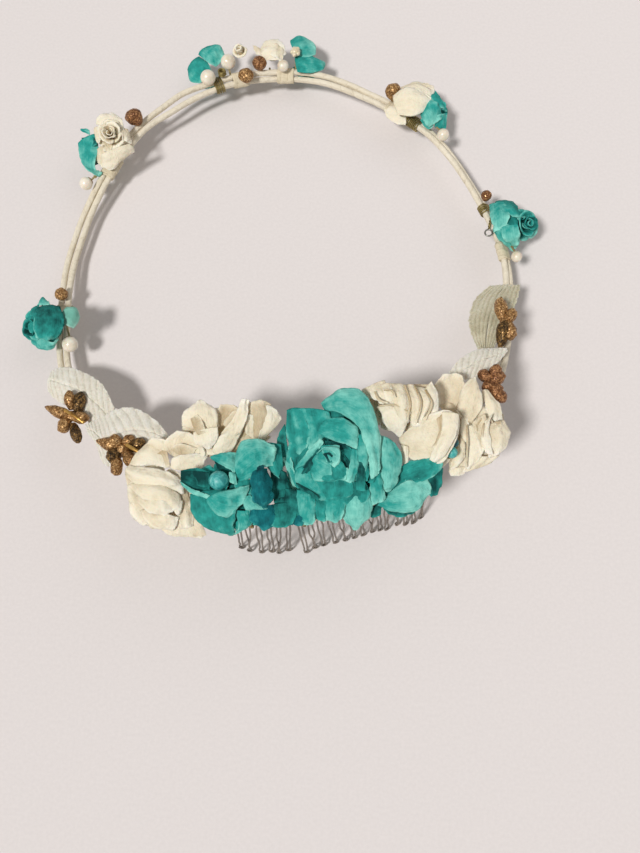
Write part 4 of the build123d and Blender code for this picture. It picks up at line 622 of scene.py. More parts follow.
def patch(pc, rows, opt, seed, nu=23, nv=31, thick=0.3, base_tone=0.0, m=0, crumple=0.42):
    """A petal over an outline given as rows."""
    R = np.array(rows, float)
    L, Rt = R[:, :3], R[:, 3:]
    per = max((nv - 1) // (len(R) - 1), 5)
    if len(R) > 2:
        L, Rt = catmull(L, per), catmull(Rt, per)
    else:
        L, Rt = catmull(L, nv - 1), catmull(Rt, nv - 1)
    n_v = len(L)
    u = np.linspace(-1, 1, nu)[None, :, None]
    v = np.linspace(0, 1, n_v)[:, None, None]
    C, H = (L + Rt)[:, None] / 2, (Rt - L)[:, None] / 2
    G = C + H * u * (1 + 0.05 * np.sin(math.pi * v))
    along = unit(C[-1, 0] - C[0, 0])
    wide = np.linalg.norm(H, axis=-1).max()
    bow = 0.0 if opt.get("square") else 0.16
    G = G + along * (bow * wide) * (1 - u**2) * (v**3 - 0.6 * (1 - v) ** 3)
    n = unit(np.cross((Rt - L)[n_v // 2], C[-1, 0] - C[0, 0]))
    if n @ [0, -0.35, 1] < 0:
        n = -n
    G = G + n * opt.get("bulge", 0.6) * (1 - u**2) * np.sin(math.pi * (0.12 + 0.76 * v))
    wave = vnoise(np.concatenate([u * 1.6 + v * 0, v * 1.1 + u * 0, seed + 0.37 + 0 * (u + v)], -1), seed + 3)
    G = G + n * (wave * (0.3 + 0.06 * wide))[..., None]
    vv = np.linspace(0, 1, n_v)[:, None]
    uu = np.linspace(-1, 1, nu)[None, :]
    # tone darker towards the first row and lighter towards the last: painted shade toward the petal's foot; 'side'
    # paints one long edge darker and the other lighter; the wave term lightens the bulges and darkens the hollows of
    # the wave that moves the sheet: painted light and shade
    t = base_tone + opt.get("tone", 0.0) + 0.22 * (vv - 0.55) + opt.get("side", 0.0) * uu * 0.5
    t = t + 0.1 * wave / (np.abs(wave).max() + 1e-6)
    shell(pc, G, thick, t, None, opt.get("crumple", crumple), seed, opt.get("m", m))


def polar_petal(pc, O, fr, ang, half, r0, r1, h0, h1, curl=0.6, seed=0, tone=0.0, nu=13, nv=15, thick=0.3, m=0, point=0.0, crumple=0.4, rise=1.6):
    """A petal that stands round an axis."""
    X, Y, Z = fr
    u = np.linspace(-1, 1, nu)[None, :]
    v = np.linspace(0, 1, nv)[:, None]
    w = np.clip((v * (1.9 - 0.9 * v)) ** 0.5 * (1 - (0.25 + 0.6 * point) * v**5), 0.12, 1)
    a = ang + half * u * w
    r = r0 + (r1 - r0) * (v**1.15) * (1 - 0.10 * u**2 * v) + curl * np.clip(v - 0.72, 0, 1) ** 2 * 6
    h = h0 + (h1 - h0) * (1 - (1 - v) ** rise) * (1 - 0.16 * u**2 * v) - curl * np.clip(v - 0.72, 0, 1) ** 2 * 9
    r = r + 0.35 * vnoise(np.stack(np.broadcast_arrays(a * 2.2, v * 1.4, seed + 0.5 + 0 * a), -1), seed) * v
    G = np.asarray(O, float) + X * (r * np.cos(a))[..., None] + Y * (r * np.sin(a))[..., None] + Z * h[..., None]
    out = X * math.cos(ang) + Y * math.sin(ang)
    # tone rises from foot to tip: painted shade down at the petal's foot
    shell(pc, G, thick, tone + 0.3 * (v - 0.6) + 0 * u, None, crumple, seed, m, up=Z * 0.5 - out)


def spiral(pc, O, fr, r_in, r_out, height, turns=2.4, seed=0, tone=0.0, start=0.0, squash=1.0, m=0, thick=0.28, crumple=0.3, flare=0.25):
    """A strip rolled up into a bud."""
    X, Y, Z = fr
    ns, nv = int(26 * turns), 12
    s = np.linspace(0, 1, ns)[None, :]
    v = np.linspace(0, 1, nv)[:, None]
    a = start + 2 * math.pi * turns * s
    r = (r_in + (r_out - r_in) * s**0.9) * (0.5 + 0.5 * v**0.6) + flare * v**4 * (0.4 + s)
    wav = vnoise(np.stack(np.broadcast_arrays(a * 0.9, 0 * a, seed + 0 * a), -1), seed)
    h = height * v * (1 - 0.22 * s + 0.10 * wav)
    G = np.asarray(O, float) + X * (r * np.cos(a))[..., None] + Y * (r * squash * np.sin(a))[..., None] + Z * h[..., None]
    # tone darker towards the foot of the roll: painted shade down inside the bud
    shell(pc, G, thick, tone + 0.5 * (v - 0.75) + 0 * s, (v**6) * np.ones_like(s), crumple, seed, m)


def rose(pc, O, axis, rim, depth, seed, tone=0.0, layers=3, petals=5, bud=True, m=0, point=0.0, closed=0.0, crumple=0.4, tilt=0.0):
    """A paper rose: rings of petals from the outside in and a rolled heart."""
    fr = frame_of(axis)
    rng = np.random.default_rng(seed)
    for k in range(layers):
        f = k / max(layers - 1, 1)
        r1 = rim * (1 - 0.55 * f) * (1 - closed * 0.2)
        h1 = depth * (0.62 + 0.38 * f)
        n = max(petals - (k + 1) // 2, 3)
        for i in range(n):
            a = 2 * math.pi * (i + 0.5 * k + 0.25 * rng.random()) / n + tilt
            # each ring further in is 0.12 darker: painted shade in the heart; the random part is tone that differs
            # petal to petal
            polar_petal(pc, np.asarray(O, float) + fr[2] * (0.4 + 0.5 * k), fr, a, math.pi / n * (1.25 + 0.2 * rng.random()), 1.0 + 0.2 * f, r1 * (0.92 + 0.12 * rng.random()), 0, h1 * (0.9 + 0.14 * rng.random()), curl=(0.9 - 0.8 * f) * (1 - closed), seed=seed * 31 + k * 7 + i, tone=tone + 0.1 * rng.standard_normal() - 0.12 * f, m=m, point=point, crumple=crumple, rise=1.3 + 0.9 * f)
    if bud:
        spiral(pc, np.asarray(O, float) + fr[2] * 1.0, fr, 0.5, rim * 0.34, depth * 0.92, 2.2, seed + 77, tone - 0.1, start=rng.random() * 6, m=m)


def tube(pc, P, r, sides=10, tone=0.0, m=0, cap=True, ridge=None, uvs=1.0, squash=None):
    """A round wire along a line. r is one radius or one for each point."""
    P = np.asarray(P, float)
    n = len(P)
    T = unit(np.gradient(P, axis=0))
    N = np.zeros_like(P)
    x = np.cross(T[0], [0, 0, 1.0])
    N[0] = unit(x if np.linalg.norm(x) > 1e-3 else np.cross(T[0], [1.0, 0, 0]))
    for i in range(1, n):
        w = N[i - 1] - T[i] * (N[i - 1] @ T[i])
        N[i] = unit(w)
    B = np.cross(T, N)
    s = np.r_[0, np.cumsum(np.linalg.norm(np.diff(P, axis=0), axis=1))]
    th = 2 * math.pi * np.arange(sides) / sides
    rr = np.broadcast_to(np.asarray(r, float).reshape(-1, 1), (n, sides)).copy()
    t = np.full((n, sides), float(tone))
    if ridge is not None:
        add, dt = ridge(s[:, None], th[None, :])
        rr = rr + add
        t = t + dt
    G = P[:, None] + rr[..., None] * (N[:, None] * np.cos(th)[None, :, None] + B[:, None] * np.sin(th)[None, :, None])
    V = G.reshape(-1, 3)
    F = grid_faces(n, sides, wrap=True)
    U = np.stack(np.broadcast_arrays(th[None, :] * 1.2, s[:, None] * uvs), -1).reshape(-1, 2)
    tt = t.ravel()
    if cap:
        # each end closes with a smaller ring and a centre ring of no size
        extra, faces = [], []
        k = len(V)
        for e, sg in ((0, -1), (n - 1, 1)):
            R0 = P[e] + T[e] * sg * rr[e].mean() * 0.35
            for f in (0.6, 0.02):
                extra.append(R0 + T[e] * sg * rr[e].mean() * (0.0 if f > 0.5 else 0.12) + (G[e] - P[e]) * f)
        base = [0, (n - 1) * sides]
        idx = np.arange(sides)
        j = (idx + 1) % sides
        for q in range(2):
            a0, a1, a2 = base[q] + idx, k + q * 2 * sides + idx, k + (q * 2 + 1) * sides + idx
            b0, b1, b2 = base[q] + j, k + q * 2 * sides + j, k + (q * 2 + 1) * sides + j
            f1, f2 = np.stack([a0, a1, b1, b0], 1), np.stack([a1, a2, b2, b1], 1)
            if q:
                f1, f2 = f1[:, ::-1], f2[:, ::-1]
            faces += [f1, f2]
        V = np.vstack([V] + extra)
        U = np.vstack([U, np.zeros((4 * sides, 2))])
        tt = np.r_[tt, np.full(4 * sides, float(tone))]
        F = np.vstack([F] + faces)
    pc.add(V, F, U, tt, 0.0, m)


def blob(pc, c, r, axis=(0, 0, 1), stretch=1.0, lump=0.0, seed=0, tone=0.0, m=0, nu=28, nv=18, taper=0.0, hole=0.03):
    """A lumpy ball, longer along its axis by stretch and narrower to one end by taper."""
    X, Y, Z = frame_of(axis)
    a = 2 * math.pi * np.arange(nu)[None, :] / nu
    b = np.linspace(hole, math.pi - hole, nv)[:, None]
    d = X * (np.sin(b) * np.cos(a))[..., None] + Y * (np.sin(b) * np.sin(a))[..., None] + Z * (np.cos(b) + 0 * a)[..., None]
    k = 1 + lump * (vnoise(d * 2.2 + seed * 7.3, seed) * 0.7 + vnoise(d * 5.5 + seed, seed + 2) * 0.3)
    w = 1 + taper * np.cos(b)
    G = np.asarray(c, float) + r * k[..., None] * (X * (np.sin(b) * np.cos(a) * w)[..., None] + Y * (np.sin(b) * np.sin(a) * w)[..., None] + Z * ((np.cos(b) + 0 * a) * stretch)[..., None])
    # both poles close on rings of almost no size
    U = np.stack(np.broadcast_arrays(a * r, -b * r), -1).reshape(-1, 2)
    F = grid_faces(nv, nu, wrap=True)
    V = G.reshape(-1, 3)
    n = len(V)
    V = np.vstack([V, G[0].mean(0) + (G[0] - G[0].mean(0)) * 0.05, G[-1].mean(0) + (G[-1] - G[-1].mean(0)) * 0.05])
    idx = np.arange(nu)
    j = (idx + 1) % nu
    F = np.vstack([F, np.stack([idx, n + idx, n + j, j], 1), np.stack([(nv - 1) * nu + j, n + nu + j, n + nu + idx, (nv - 1) * nu + idx], 1)])
    pc.add(V, F[:, ::-1], np.vstack([U, np.zeros((2 * nu, 2))]), tone, 0.0, m)


# ------------------------------------------------------------------ materials
def lin(c):
    return tuple((x / 255 / 12.92) if x / 255 <= 0.04045 else ((x / 255 + 0.055) / 1.055) ** 2.4 for x in c) + (1.0,)


class Mat:
    """A short way to write a node material."""

    def __init__(self, name):
        self.m = bpy.data.materials.new(name)
        self.m.use_nodes = True
        self.t = self.m.node_tree
        self.p = self.t.nodes["Principled BSDF"]

    def node(self, kind, **kw):
        n = self.t.nodes.new(kind)
        for k, v in kw.items():
            setattr(n, k, v)
        return n

    def link(self, a, b):
        self.t.links.new(a, b)

    def coords(self, scale, use="Object"):
        c = self.node("ShaderNodeTexCoord")
        m = self.node("ShaderNodeMapping")
        m.inputs["Scale"].default_value = scale if hasattr(scale, "__len__") else (scale,) * 3
        self.link(c.outputs[use], m.inputs["Vector"])
        return m.outputs["Vector"]

    def noise(self, scale, detail=3.0, rough=0.55, use="Object", distort=0.0):
        n = self.node("ShaderNodeTexNoise")
        n.inputs["Scale"].default_value = 1.0
        n.inputs["Detail"].default_value = detail
        n.inputs["Roughness"].default_value = rough
        n.inputs["Distortion"].default_value = distort
        self.link(self.coords(scale, use), n.inputs["Vector"])
        return n.outputs["Fac"]

    def voronoi(self, scale, feature="F1", use="Object"):
        n = self.node("ShaderNodeTexVoronoi", feature=feature)
        n.inputs["Scale"].default_value = 1.0
        self.link(self.coords(scale, use), n.inputs["Vector"])
        return n

    def attr(self, name):
        n = self.node("ShaderNodeAttribute")
        n.attribute_name = name
        return n.outputs["Fac"]

    def math(self, op, a, b, c=None):
        n = self.node("ShaderNodeMath", operation=op)
        for i, x in enumerate((a, b, c)):
            if x is None:
                continue
            if isinstance(x, (int, float)):
                n.inputs[i].default_value = x
            else:
                self.link(x, n.inputs[i])
        return n.outputs[0]

    def ramp(self, fac, stops):
        n = self.node("ShaderNodeValToRGB")
        e = n.color_ramp.elements
        while len(e) < len(stops):
            e.new(0.5)
        for el, (pos, col) in zip(e, stops):
            el.position = pos
            el.color = lin(col)
        self.link(fac, n.inputs["Fac"])
        return n.outputs["Color"]

    def bump(self, height, distance, strength=1.0, normal=None):
        n = self.node("ShaderNodeBump")
        n.inputs["Strength"].default_value = strength
        n.inputs["Distance"].default_value = distance
        self.link(height, n.inputs["Height"])
        if normal is not None:
            self.link(normal, n.inputs["Normal"])
        return n.outputs["Normal"]

    def set(self, **kw):
        for k, v in kw.items():
            self.p.inputs[k.replace("_", " ")].default_value = v
        return self


def paper(name, dark, mid, light, streak=0.5, crumple=0.35, gain=0.55, rough=0.86, glow=0.0):
    """Crepe paper: fibres along the petal, soft creases, paler cut edges that also carry a painted highlight on the
    rims; the tone attribute carries painted light and shade.
    """
    M = Mat(name)
    fib = M.noise((2.4, 0.26, 1), 4, 0.65, "UV", 0.3)
    fine = M.noise((7.0, 0.9, 1), 2, 0.6, "UV")
    cr = M.noise(420, 3, 0.55)
    blot = M.noise(130, 2, 0.5)
    # tone attribute: painted shade (petal feet, hearts, creases, undersides, gap strips) and painted light on bulges,
    # plus tone that differs at random
    f = M.math("MULTIPLY_ADD", M.attr("tone"), gain, 0.5)
    f = M.math("MULTIPLY_ADD", M.math("SUBTRACT", fib, 0.5), streak, f)
    f = M.math("MULTIPLY_ADD", M.math("SUBTRACT", cr, 0.5), crumple, f)
    f = M.math("MULTIPLY_ADD", M.math("SUBTRACT", blot, 0.5), 0.35, f)
    # edge attribute: paler cut edges, partly a painted highlight on the rims
    f = M.math("MULTIPLY_ADD", M.attr("edge"), 0.3, f)
    M.link(M.ramp(f, [(0.0, dark), (0.5, mid), (1.0, light)]), M.p.inputs["Base Color"])
    n = M.bump(cr, 0.0011, 0.7)
    n = M.bump(fib, 0.0004, 0.5, n)
    n = M.bump(fine, 0.00022, 0.5, n)
    M.link(n, M.p.inputs["Normal"])
    M.set(Roughness=rough, Specular_IOR_Level=0.25)
    if glow:
        M.set(Subsurface_Weight=glow, Subsurface_Scale=0.0015)
    return M.m


TEAL = paper("teal_crepe_paper", (0, 62, 60), (44, 160, 150), (148, 226, 210), 0.34, 0.62, 0.86)
TEAL_DEEP = paper("deep_teal_crepe_paper", (0, 52, 58), (6, 112, 118), (60, 172, 168), 0.4, 0.9, 0.6)
TEAL_PALE = paper("pale_teal_paper", (70, 140, 126), (124, 190, 172), (190, 228, 214), 0.4, 0.3, 0.5)
IVORY = paper("ivory_crepe_paper", (180, 156, 114), (241, 230, 204), (255, 251, 238), 0.22, 0.2, 0.66, glow=0.06)
STRAND = paper("ivory_wound_paper", (168, 148, 112), (232, 222, 200), (250, 245, 232), 0.22, 0.25, 0.7)
TAPE = paper("ivory_floral_tape", (140, 120, 84), (218, 206, 178), (244, 236, 216), 0.4, 0.35, 0.7)


def metal(name, lo, hi, rough=0.4, metallic=0.9, grain=900, coat=0.0):
    M = Mat(name)
    n1 = M.noise(grain, 3)
    n2 = M.noise(160, 2)
    f = M.math("MULTIPLY_ADD", M.math("SUBTRACT", n2, 0.5), 0.9, n1)
    M.link(M.ramp(f, [(0.25, lo), (0.75, hi)]), M.p.inputs["Base Color"])
    M.link(M.bump(n1, 0.00012, 0.5), M.p.inputs["Normal"])
    M.link(M.math("MULTIPLY_ADD", n2, 0.3, rough - 0.15), M.p.inputs["Roughness"])
    M.set(Metallic=metallic)
    return M.m


STEEL = metal("core_steel_wire", (150, 150, 150), (200, 200, 198))
COMB = metal("comb_wire", (92, 84, 76), (164, 154, 142), 0.42, 0.75)
OLIVE = metal("olive_binding_wire", (96, 84, 44), (172, 154, 96), 0.45, 0.6)
STEMW = metal("covered_stem_wire", (118, 104, 66), (188, 172, 126), 0.75, 0.15)
TAN = metal("tan_stem_cap", (120, 88, 48), (190, 150, 96), 0.6, 0.25)
GREY = metal("grey_eye_wire", (112, 110, 104), (176, 174, 166), 0.38, 0.85)
ROD = metal("bright_gold_rod", (170, 118, 52), (240, 200, 118), 0.32, 0.85)


def glitter(name, dark, mid, bright):
    """Grains of glitter in brown lacquer."""
    M = Mat(name)
    vo = M.voronoi(2600)
    big = M.noise(420, 3)
    sep = M.node("ShaderNodeSeparateColor")
    M.link(vo.outputs["Color"], sep.inputs[0])
    f = M.math("MULTIPLY_ADD", M.math("SUBTRACT", big, 0.5), 0.7, M.math("MULTIPLY_ADD", sep.outputs[0], 0.75, 0.12))
    M.link(M.ramp(f, [(0.08, dark), (0.55, mid), (0.95, bright)]), M.p.inputs["Base Color"])
    n = M.bump(sep.outputs[1], 0.00035, 0.9)
    n = M.bump(big, 0.0012, 0.8, n)
    M.link(n, M.p.inputs["Normal"])
    M.link(M.math("MULTIPLY_ADD", sep.outputs[2], 0.4, 0.22), M.p.inputs["Roughness"])
    M.set(Metallic=0.5)
    return M.m


GOLD = glitter("gold_glitter", (94, 64, 34), (164, 120, 70), (236, 196, 138))
COPPER = glitter("copper_glitter", (84, 50, 28), (146, 98, 60), (220, 168, 118))
BRONZE = glitter("bronze_lobe", (36, 26, 14), (92, 68, 36), (176, 136, 78))


def pearl_mat(name, lo, hi):
    M = Mat(name)
    n = M.noise(260, 3)
    M.link(M.ramp(n, [(0.3, lo), (0.7, hi)]), M.p.inputs["Base Color"])
    M.link(M.bump(M.noise(900, 2), 0.00008, 0.5), M.p.inputs["Normal"])
    M.set(Roughness=0.3, Coat_Weight=0.6, Coat_Roughness=0.15, Sheen_Weight=0.2, Subsurface_Weight=0.1, Subsurface_Scale=0.002)
    return M.m


PEARL = pearl_mat("pearl_lustre", (214, 200, 172), (246, 238, 222))
CREAM = pearl_mat("cream_bead", (206, 188, 152), (238, 226, 198))


def bead_mat(name, lo, mid, hi):
    M = Mat(name)
    n = M.noise(520, 5, 0.6, distort=1.2)
    M.link(M.ramp(n, [(0.3, lo), (0.5, mid), (0.72, hi)]), M.p.inputs["Base Color"])
    M.link(M.bump(n, 0.0002, 0.5), M.p.inputs["Normal"])
    M.set(Roughness=0.42, Coat_Weight=0.25, Coat_Roughness=0.3)
    return M.m


BEAD = bead_mat("turquoise_bead", (20, 118, 120), (62, 168, 164), (128, 206, 198))
BEAD_DARK = bead_mat("dark_turquoise_bead", (4, 54, 66), (10, 92, 104), (48, 140, 146))


def leaf_mat(name, dark, mid, light, sparkle=0.0):
    """Stiff sheer fabric: raised ribs, woven threads and a fine shimmer."""
    M = Mat(name)
    weave = M.node("ShaderNodeTexWave", wave_type="BANDS", bands_direction="X")
    weave.inputs["Scale"].default_value = 1.0
    weave.inputs["Distortion"].default_value = 0.6
    M.link(M.coords((1.9, 1.9, 1), "UV"), weave.inputs["Vector"])
    fuzz = M.noise(1500, 3, 0.7)
    patchy = M.noise(160, 3)
    # the tone attribute carries painted shade in the troughs between the ribs and light on their crests, plus random
    # tone
    f = M.math("MULTIPLY_ADD", M.attr("tone"), 0.5, 0.55)
    f = M.math("MULTIPLY_ADD", M.math("SUBTRACT", fuzz, 0.5), 0.8, f)
    f = M.math("MULTIPLY_ADD", M.math("SUBTRACT", patchy, 0.5), 0.45, f)
    f = M.math("MULTIPLY_ADD", M.attr("edge"), 0.15, f)
    M.link(M.ramp(f, [(0.0, dark), (0.5, mid), (1.0, light)]), M.p.inputs["Base Color"])
    n = M.bump(fuzz, 0.0006, 0.8)
    n = M.bump(weave.outputs["Fac"], 0.00012, 0.4, n)
    M.link(n, M.p.inputs["Normal"])
    M.set(Roughness=0.55, Sheen_Weight=0.5, Sheen_Roughness=0.4, Specular_IOR_Level=0.45, Subsurface_Weight=0.05, Subsurface_Scale=0.001)
    return M.m


LEAF_WHITE = leaf_mat("white_ribbed_leaf_fabric", (160, 150, 128), (236, 230, 212), (255, 253, 246))
LEAF_SHEER = leaf_mat("sheer_leaf_fabric", (116, 108, 78), (192, 184, 152), (238, 234, 212))

SLOT = {}
for entry in RECORD.get("subparts", []):
    SLOT[entry["node"]] = entry.get("material_slot")
print("slots known for", len(SLOT), "nodes")


def finish_piece(pc, name, mats, nodes=None, body="crown"):
    nodes = nodes or (name.replace("_look", ""),)
    return pc.build(name + "_look" if not name.endswith("_look") else name, mats, nodes, body, SLOT.get(nodes[0]))


# ------------------------------------------------------------------ the band
def strand(side):
    R = np.array(ROUTE)
    out = []
    for i, (x, y, z, half, rise) in enumerate(R):
        a, b = R[max(i - 1, 0)], R[min(i + 1, len(R) - 1)]
        dx, dy = b[0] - a[0], b[1] - a[1]
        run = math.hypot(dx, dy)
        out.append((x - dy / run * half * side, y + dx / run * half * side, z + rise * side))
    return np.array(out)


OUTER, INNER = strand(1), strand(-1)
for tag, pts, hand in (("outer", OUTER, 1), ("inner", INNER, -1)):
    line, s = even(catmull(pts, 24), 0.34)
    line = line + np.stack([vnoise(np.c_[s / 9, 0 * s, 0 * s + k], 31 + k) for k in range(3)], 1) * 0.10

    def wound(sv, th, hand=hand):
        pitch = 4.6
        q = (sv / pitch + hand * th / (2 * math.pi) + 0.12 * vnoise(np.stack(np.broadcast_arrays(sv / 6, 0 * th, 0 * sv), -1), 5)) % 1.0
        lip = np.where(q < 0.08, q / 0.08, 1 - 0.0 * q)
        fall = 0.04 * (1 - q) * lip
        fuzz = 0.03 * vnoise(np.stack(np.broadcast_arrays(sv / 0.9, np.cos(th) * 1.4, np.sin(th) * 1.4), -1), 17)
        # the second value is tone: a dark line at the step where each turn laps the last and lighter on the raised lip:
        # painted shade and light on the winding
        return fall + fuzz - 0.04, np.where(q < 0.06, -0.16, 0.08 * (1 - q)) + 0.0 * th

    pc = Piece()
    tube(pc, line, STRAND_R, 22, 0.0, ridge=wound)
    finish_piece(pc, "band_wrap_" + tag, STRAND)


def pair_at(i, t=0.5):
    o, n = OUTER[i] * (1 - t) + OUTER[i + 1] * t, INNER[i] * (1 - t) + INNER[i + 1] * t
    along = unit((OUTER[i + 1] - OUTER[i]) + (INNER[i + 1] - INNER[i]))
    ax = unit(o - n)
    return (o + n) / 2, ax, along, np.cross(along, ax), np.linalg.norm(o - n)


def wound_collar(pc, i, length, thick, seed, t=0.5, m=0, pitch=2.6, tone=0.0, shift=0.0):
    """Tape wound round both strands: each turn laps over the last."""
    c, ax, along, up, gap = pair_at(i, t)
    c = c + along * shift
    nv, nu = int(length / 0.22) + 2, 56
    s = np.linspace(-length / 2, length / 2, nv)[:, None]
    th = 2 * math.pi * np.arange(nu)[None, :] / nu
    R = 1.15 + 0.2 + thick
    q = ((s + length) / pitch + th / (2 * math.pi)) % 1.0
    R = R - 0.13 + 0.16 * (1 - q) * np.where(q < 0.1, q / 0.1, 1) + 0.06 * vnoise(np.stack(np.broadcast_arrays(s / 1.4, np.cos(th) * 1.6, np.sin(th) * 1.6 + seed), -1), seed)
    ends = np.clip((length / 2 - np.abs(s)) / 0.5, 0, 1) ** 0.5
    R = R * (0.9 + 0.1 * ends)
    flat = gap / 2
    X = np.clip(np.cos(th) * 1.25, -1, 1) * 0 + np.cos(th) * R + np.sign(np.cos(th)) * flat * np.clip(np.abs(np.cos(th)) * 3, 0, 1)
    Z = np.sin(th) * R
    sk = 0.35 * vnoise(np.stack(np.broadcast_arrays(np.cos(th) * 1.3, np.sin(th) * 1.3, seed + 0 * s), -1), seed + 4)
    G = c + ax * X[..., None] + up * Z[..., None] + along * (s + sk * np.abs(s) / (length / 2))[..., None]
    lo = c + ax * (X[:1] * 0.7)[..., None] + up * (Z[:1] * 0.7)[..., None] - along * (length / 2 - 0.1)
    hi = c + ax * (X[-1:] * 0.7)[..., None] + up * (Z[-1:] * 0.7)[..., None] + along * (length / 2 - 0.1)
    G = np.concatenate([lo, G, hi], 0)
    V = G.reshape(-1, 3)
    # tone: painted shade at the tucked ends and at the step of each lap, painted light on each raised turn
    T = np.vstack([np.full((1, nu), -0.5), np.where(q < 0.07, -0.3, 0.1 * (1 - q)) + 0 * s, np.full((1, nu), -0.5)]).ravel() + tone
    U = np.stack(np.broadcast_arrays(th * 1.3 + seed, np.r_[0, s[:, 0], 0][:, None]), -1).reshape(-1, 2)
    pc.add(V, grid_faces(nv + 2, nu, wrap=True)[:, ::-1], U, T, 0.0, m)


pc = Piece()
for k, (i, n) in enumerate(((10, 7.0), (17, 8.0), (24, 6.0), (26, 6.5), (31, 7.0), (39, 7.0))):
    wound_collar(pc, i, n, 0.36, 40 + k)
finish_piece(pc, "cluster_tape_wraps", TAPE)

pc = Piece()
c, ax, along, up, gap = pair_at(0)
ROUTE_SLEEVE = 0
sleeve_c = np.array([-1.0, -76.0, 39.9])
nv, nu = 42, 56
s = np.linspace(-4.5, 4.5, nv)[:, None]
th = 2 * math.pi * np.arange(nu)[None, :] / nu
q = ((s + 9) / 2.4 + th / (2 * math.pi)) % 1.0
R = 1.62 + 0.14 * (1 - q) * np.where(q < 0.1, q / 0.1, 1) + 0.04 * vnoise(np.stack(np.broadcast_arrays(s / 1.3, np.cos(th), np.sin(th)), -1), 3)
X = np.cos(th) * R + np.sign(np.cos(th)) * 1.28 * np.clip(np.abs(np.cos(th)) * 3, 0, 1)
Z = np.sin(th) * R
G = sleeve_c + np.stack([s + 0 * th, X, Z], -1)
lo, hi = G[:1].copy(), G[-1:].copy()
for g in (lo, hi):
    g[..., 1] = sleeve_c[1] + (g[..., 1] - sleeve_c[1]) * 0.7
    g[..., 2] = sleeve_c[2] + (g[..., 2] - sleeve_c[2]) * 0.7
G = np.concatenate([lo, G, hi], 0)
# tone: painted shade at the ends and at the step of each lap, painted light on each raised turn
T = np.vstack([np.full((1, nu), -0.4), np.where(q < 0.1, -0.6, 0.1 * (1 - q)) + 0 * s, np.full((1, nu), -0.4)]).ravel()
U = np.stack(np.broadcast_arrays(th * 1.3, np.r_[0, s[:, 0], 0][:, None]), -1).reshape(-1, 2)
pc.add(G.reshape(-1, 3), grid_faces(nv + 2, nu, wrap=True), U, T, 0.0)
finish_piece(pc, "splice_sleeve", TAPE)

# fine wire wound beside the tape
pc = Piece()
for k, (i, turns) in enumerate(((23, 5), (32, 8), (37, 5))):
    c, ax, along, up, gap = pair_at(i)
    n = 40 * turns
    a = np.linspace(0, 2 * math.pi * turns, n)
    R = 1.15 + 0.42
    X = np.cos(a) * R + np.sign(np.cos(a)) * gap / 2 * np.clip(np.abs(np.cos(a)) * 3, 0, 1)
    s = (a / (2 * math.pi) - turns / 2) * 0.7
    s = s + 0.12 * vnoise(np.c_[a / 5, 0 * a, 0 * a + k], 9)
    P = c + np.outer(X, ax) + np.outer(np.sin(a) * R, up) + np.outer(s, along)
    tube(pc, P, 0.27, 8)
finish_piece(pc, "binding_wire_coils", OLIVE)


# ------------------------------------------------------------------ the comb
def comb_point(deg, z=SPINE_Z, r=COMB_R):
    a = math.radians(deg)
    return np.array([COMB_CX + r * math.cos(a), COMB_CY + r * math.sin(a), z])


pc = Piece()
arc = np.array([comb_point(d) for d in np.linspace(COMB_A0 - 1.6, COMB_A1 + 1.6, 90)])
tube(pc, arc, 0.5, 10)
finish_piece(pc, "comb_spine", COMB)
pc = Piece()
for k, (top, tip, drift, lean) in enumerate(TEETH):
    deg = COMB_A0 + (COMB_A1 - COMB_A0) * k / 19
    c = comb_point(deg)
    a = math.radians(deg)
    tan = np.array([-math.sin(a), math.cos(a), 0])
    out = np.array([math.cos(a), math.sin(a), 0])
    le = math.radians(lean)
    down = unit(np.array([0, 0, -1.0]) * math.cos(le) + out * math.sin(le))
    L = (SPINE_Z - 0.42) / math.cos(le)
    r = tip / 2
    rng = np.random.default_rng(200 + k)
    crossing = k % 3 == 1
    pts = []
    # a turn and a half round the spine, then one leg down, the tip's loop, and up again
    for q in np.linspace(-2.2, 0.0, 9):
        ang = q * math.pi
        pts.append(c + tan * (-top / 2 - 0.3 + 0.30 * (q + 2.2) / 2.2) + (out * math.cos(ang) * 0.81 - down * math.sin(ang) * 0.81))
    waist = 0.46 if not crossing else -0.12
    for f in (0.12, 0.3, 0.5, 0.68, 0.8, 0.88, 0.95):
        w = top / 2 * (1 - f) + r * f
        if f > 0.6 and f < 0.9:
            w = w * (0.75 if not crossing else 0.1)
        pts.append(c + tan * (-w + drift * f + 0.10 * rng.standard_normal()) + down * (L * f) + out * (0.75 * (1 - f) + 0.10 * rng.standard_normal()))
    tipc = c + tan * drift + down * (L - r)
    sgn = -1 if not crossing else 1
    for q in np.linspace(math.pi, 0, 7):
        pts.append(tipc + tan * (math.cos(q) * r * -sgn * -1) + down * math.sin(q) * r)
    for f in (0.95, 0.88, 0.8, 0.68, 0.5, 0.3, 0.12):
        w = top / 2 * (1 - f) + r * f
        if f > 0.6 and f < 0.9:
            w = w * (0.75 if not crossing else 0.1)
        if crossing and f < 0.9:
            w = w
        pts.append(c + tan * (w + drift * f + 0.10 * rng.standard_normal()) + down * (L * f) + out * ((0.75 * (1 - f) + (0.5 if crossing and 0.6 < f < 0.9 else 0)) + 0.10 * rng.standard_normal()))
    for q in np.linspace(0.0, 2.2, 9):
        ang = -q * math.pi
        pts.append(c + tan * (top / 2 + 0.30 * q / 2.2) + (out * math.cos(ang) * 0.81 - down * math.sin(ang) * 0.81))
    line, s = even(catmull(pts, 6), 0.45)
    tube(pc, line, 0.3, 9)
finish_piece(pc, "comb_teeth", COMB)
pc = Piece()
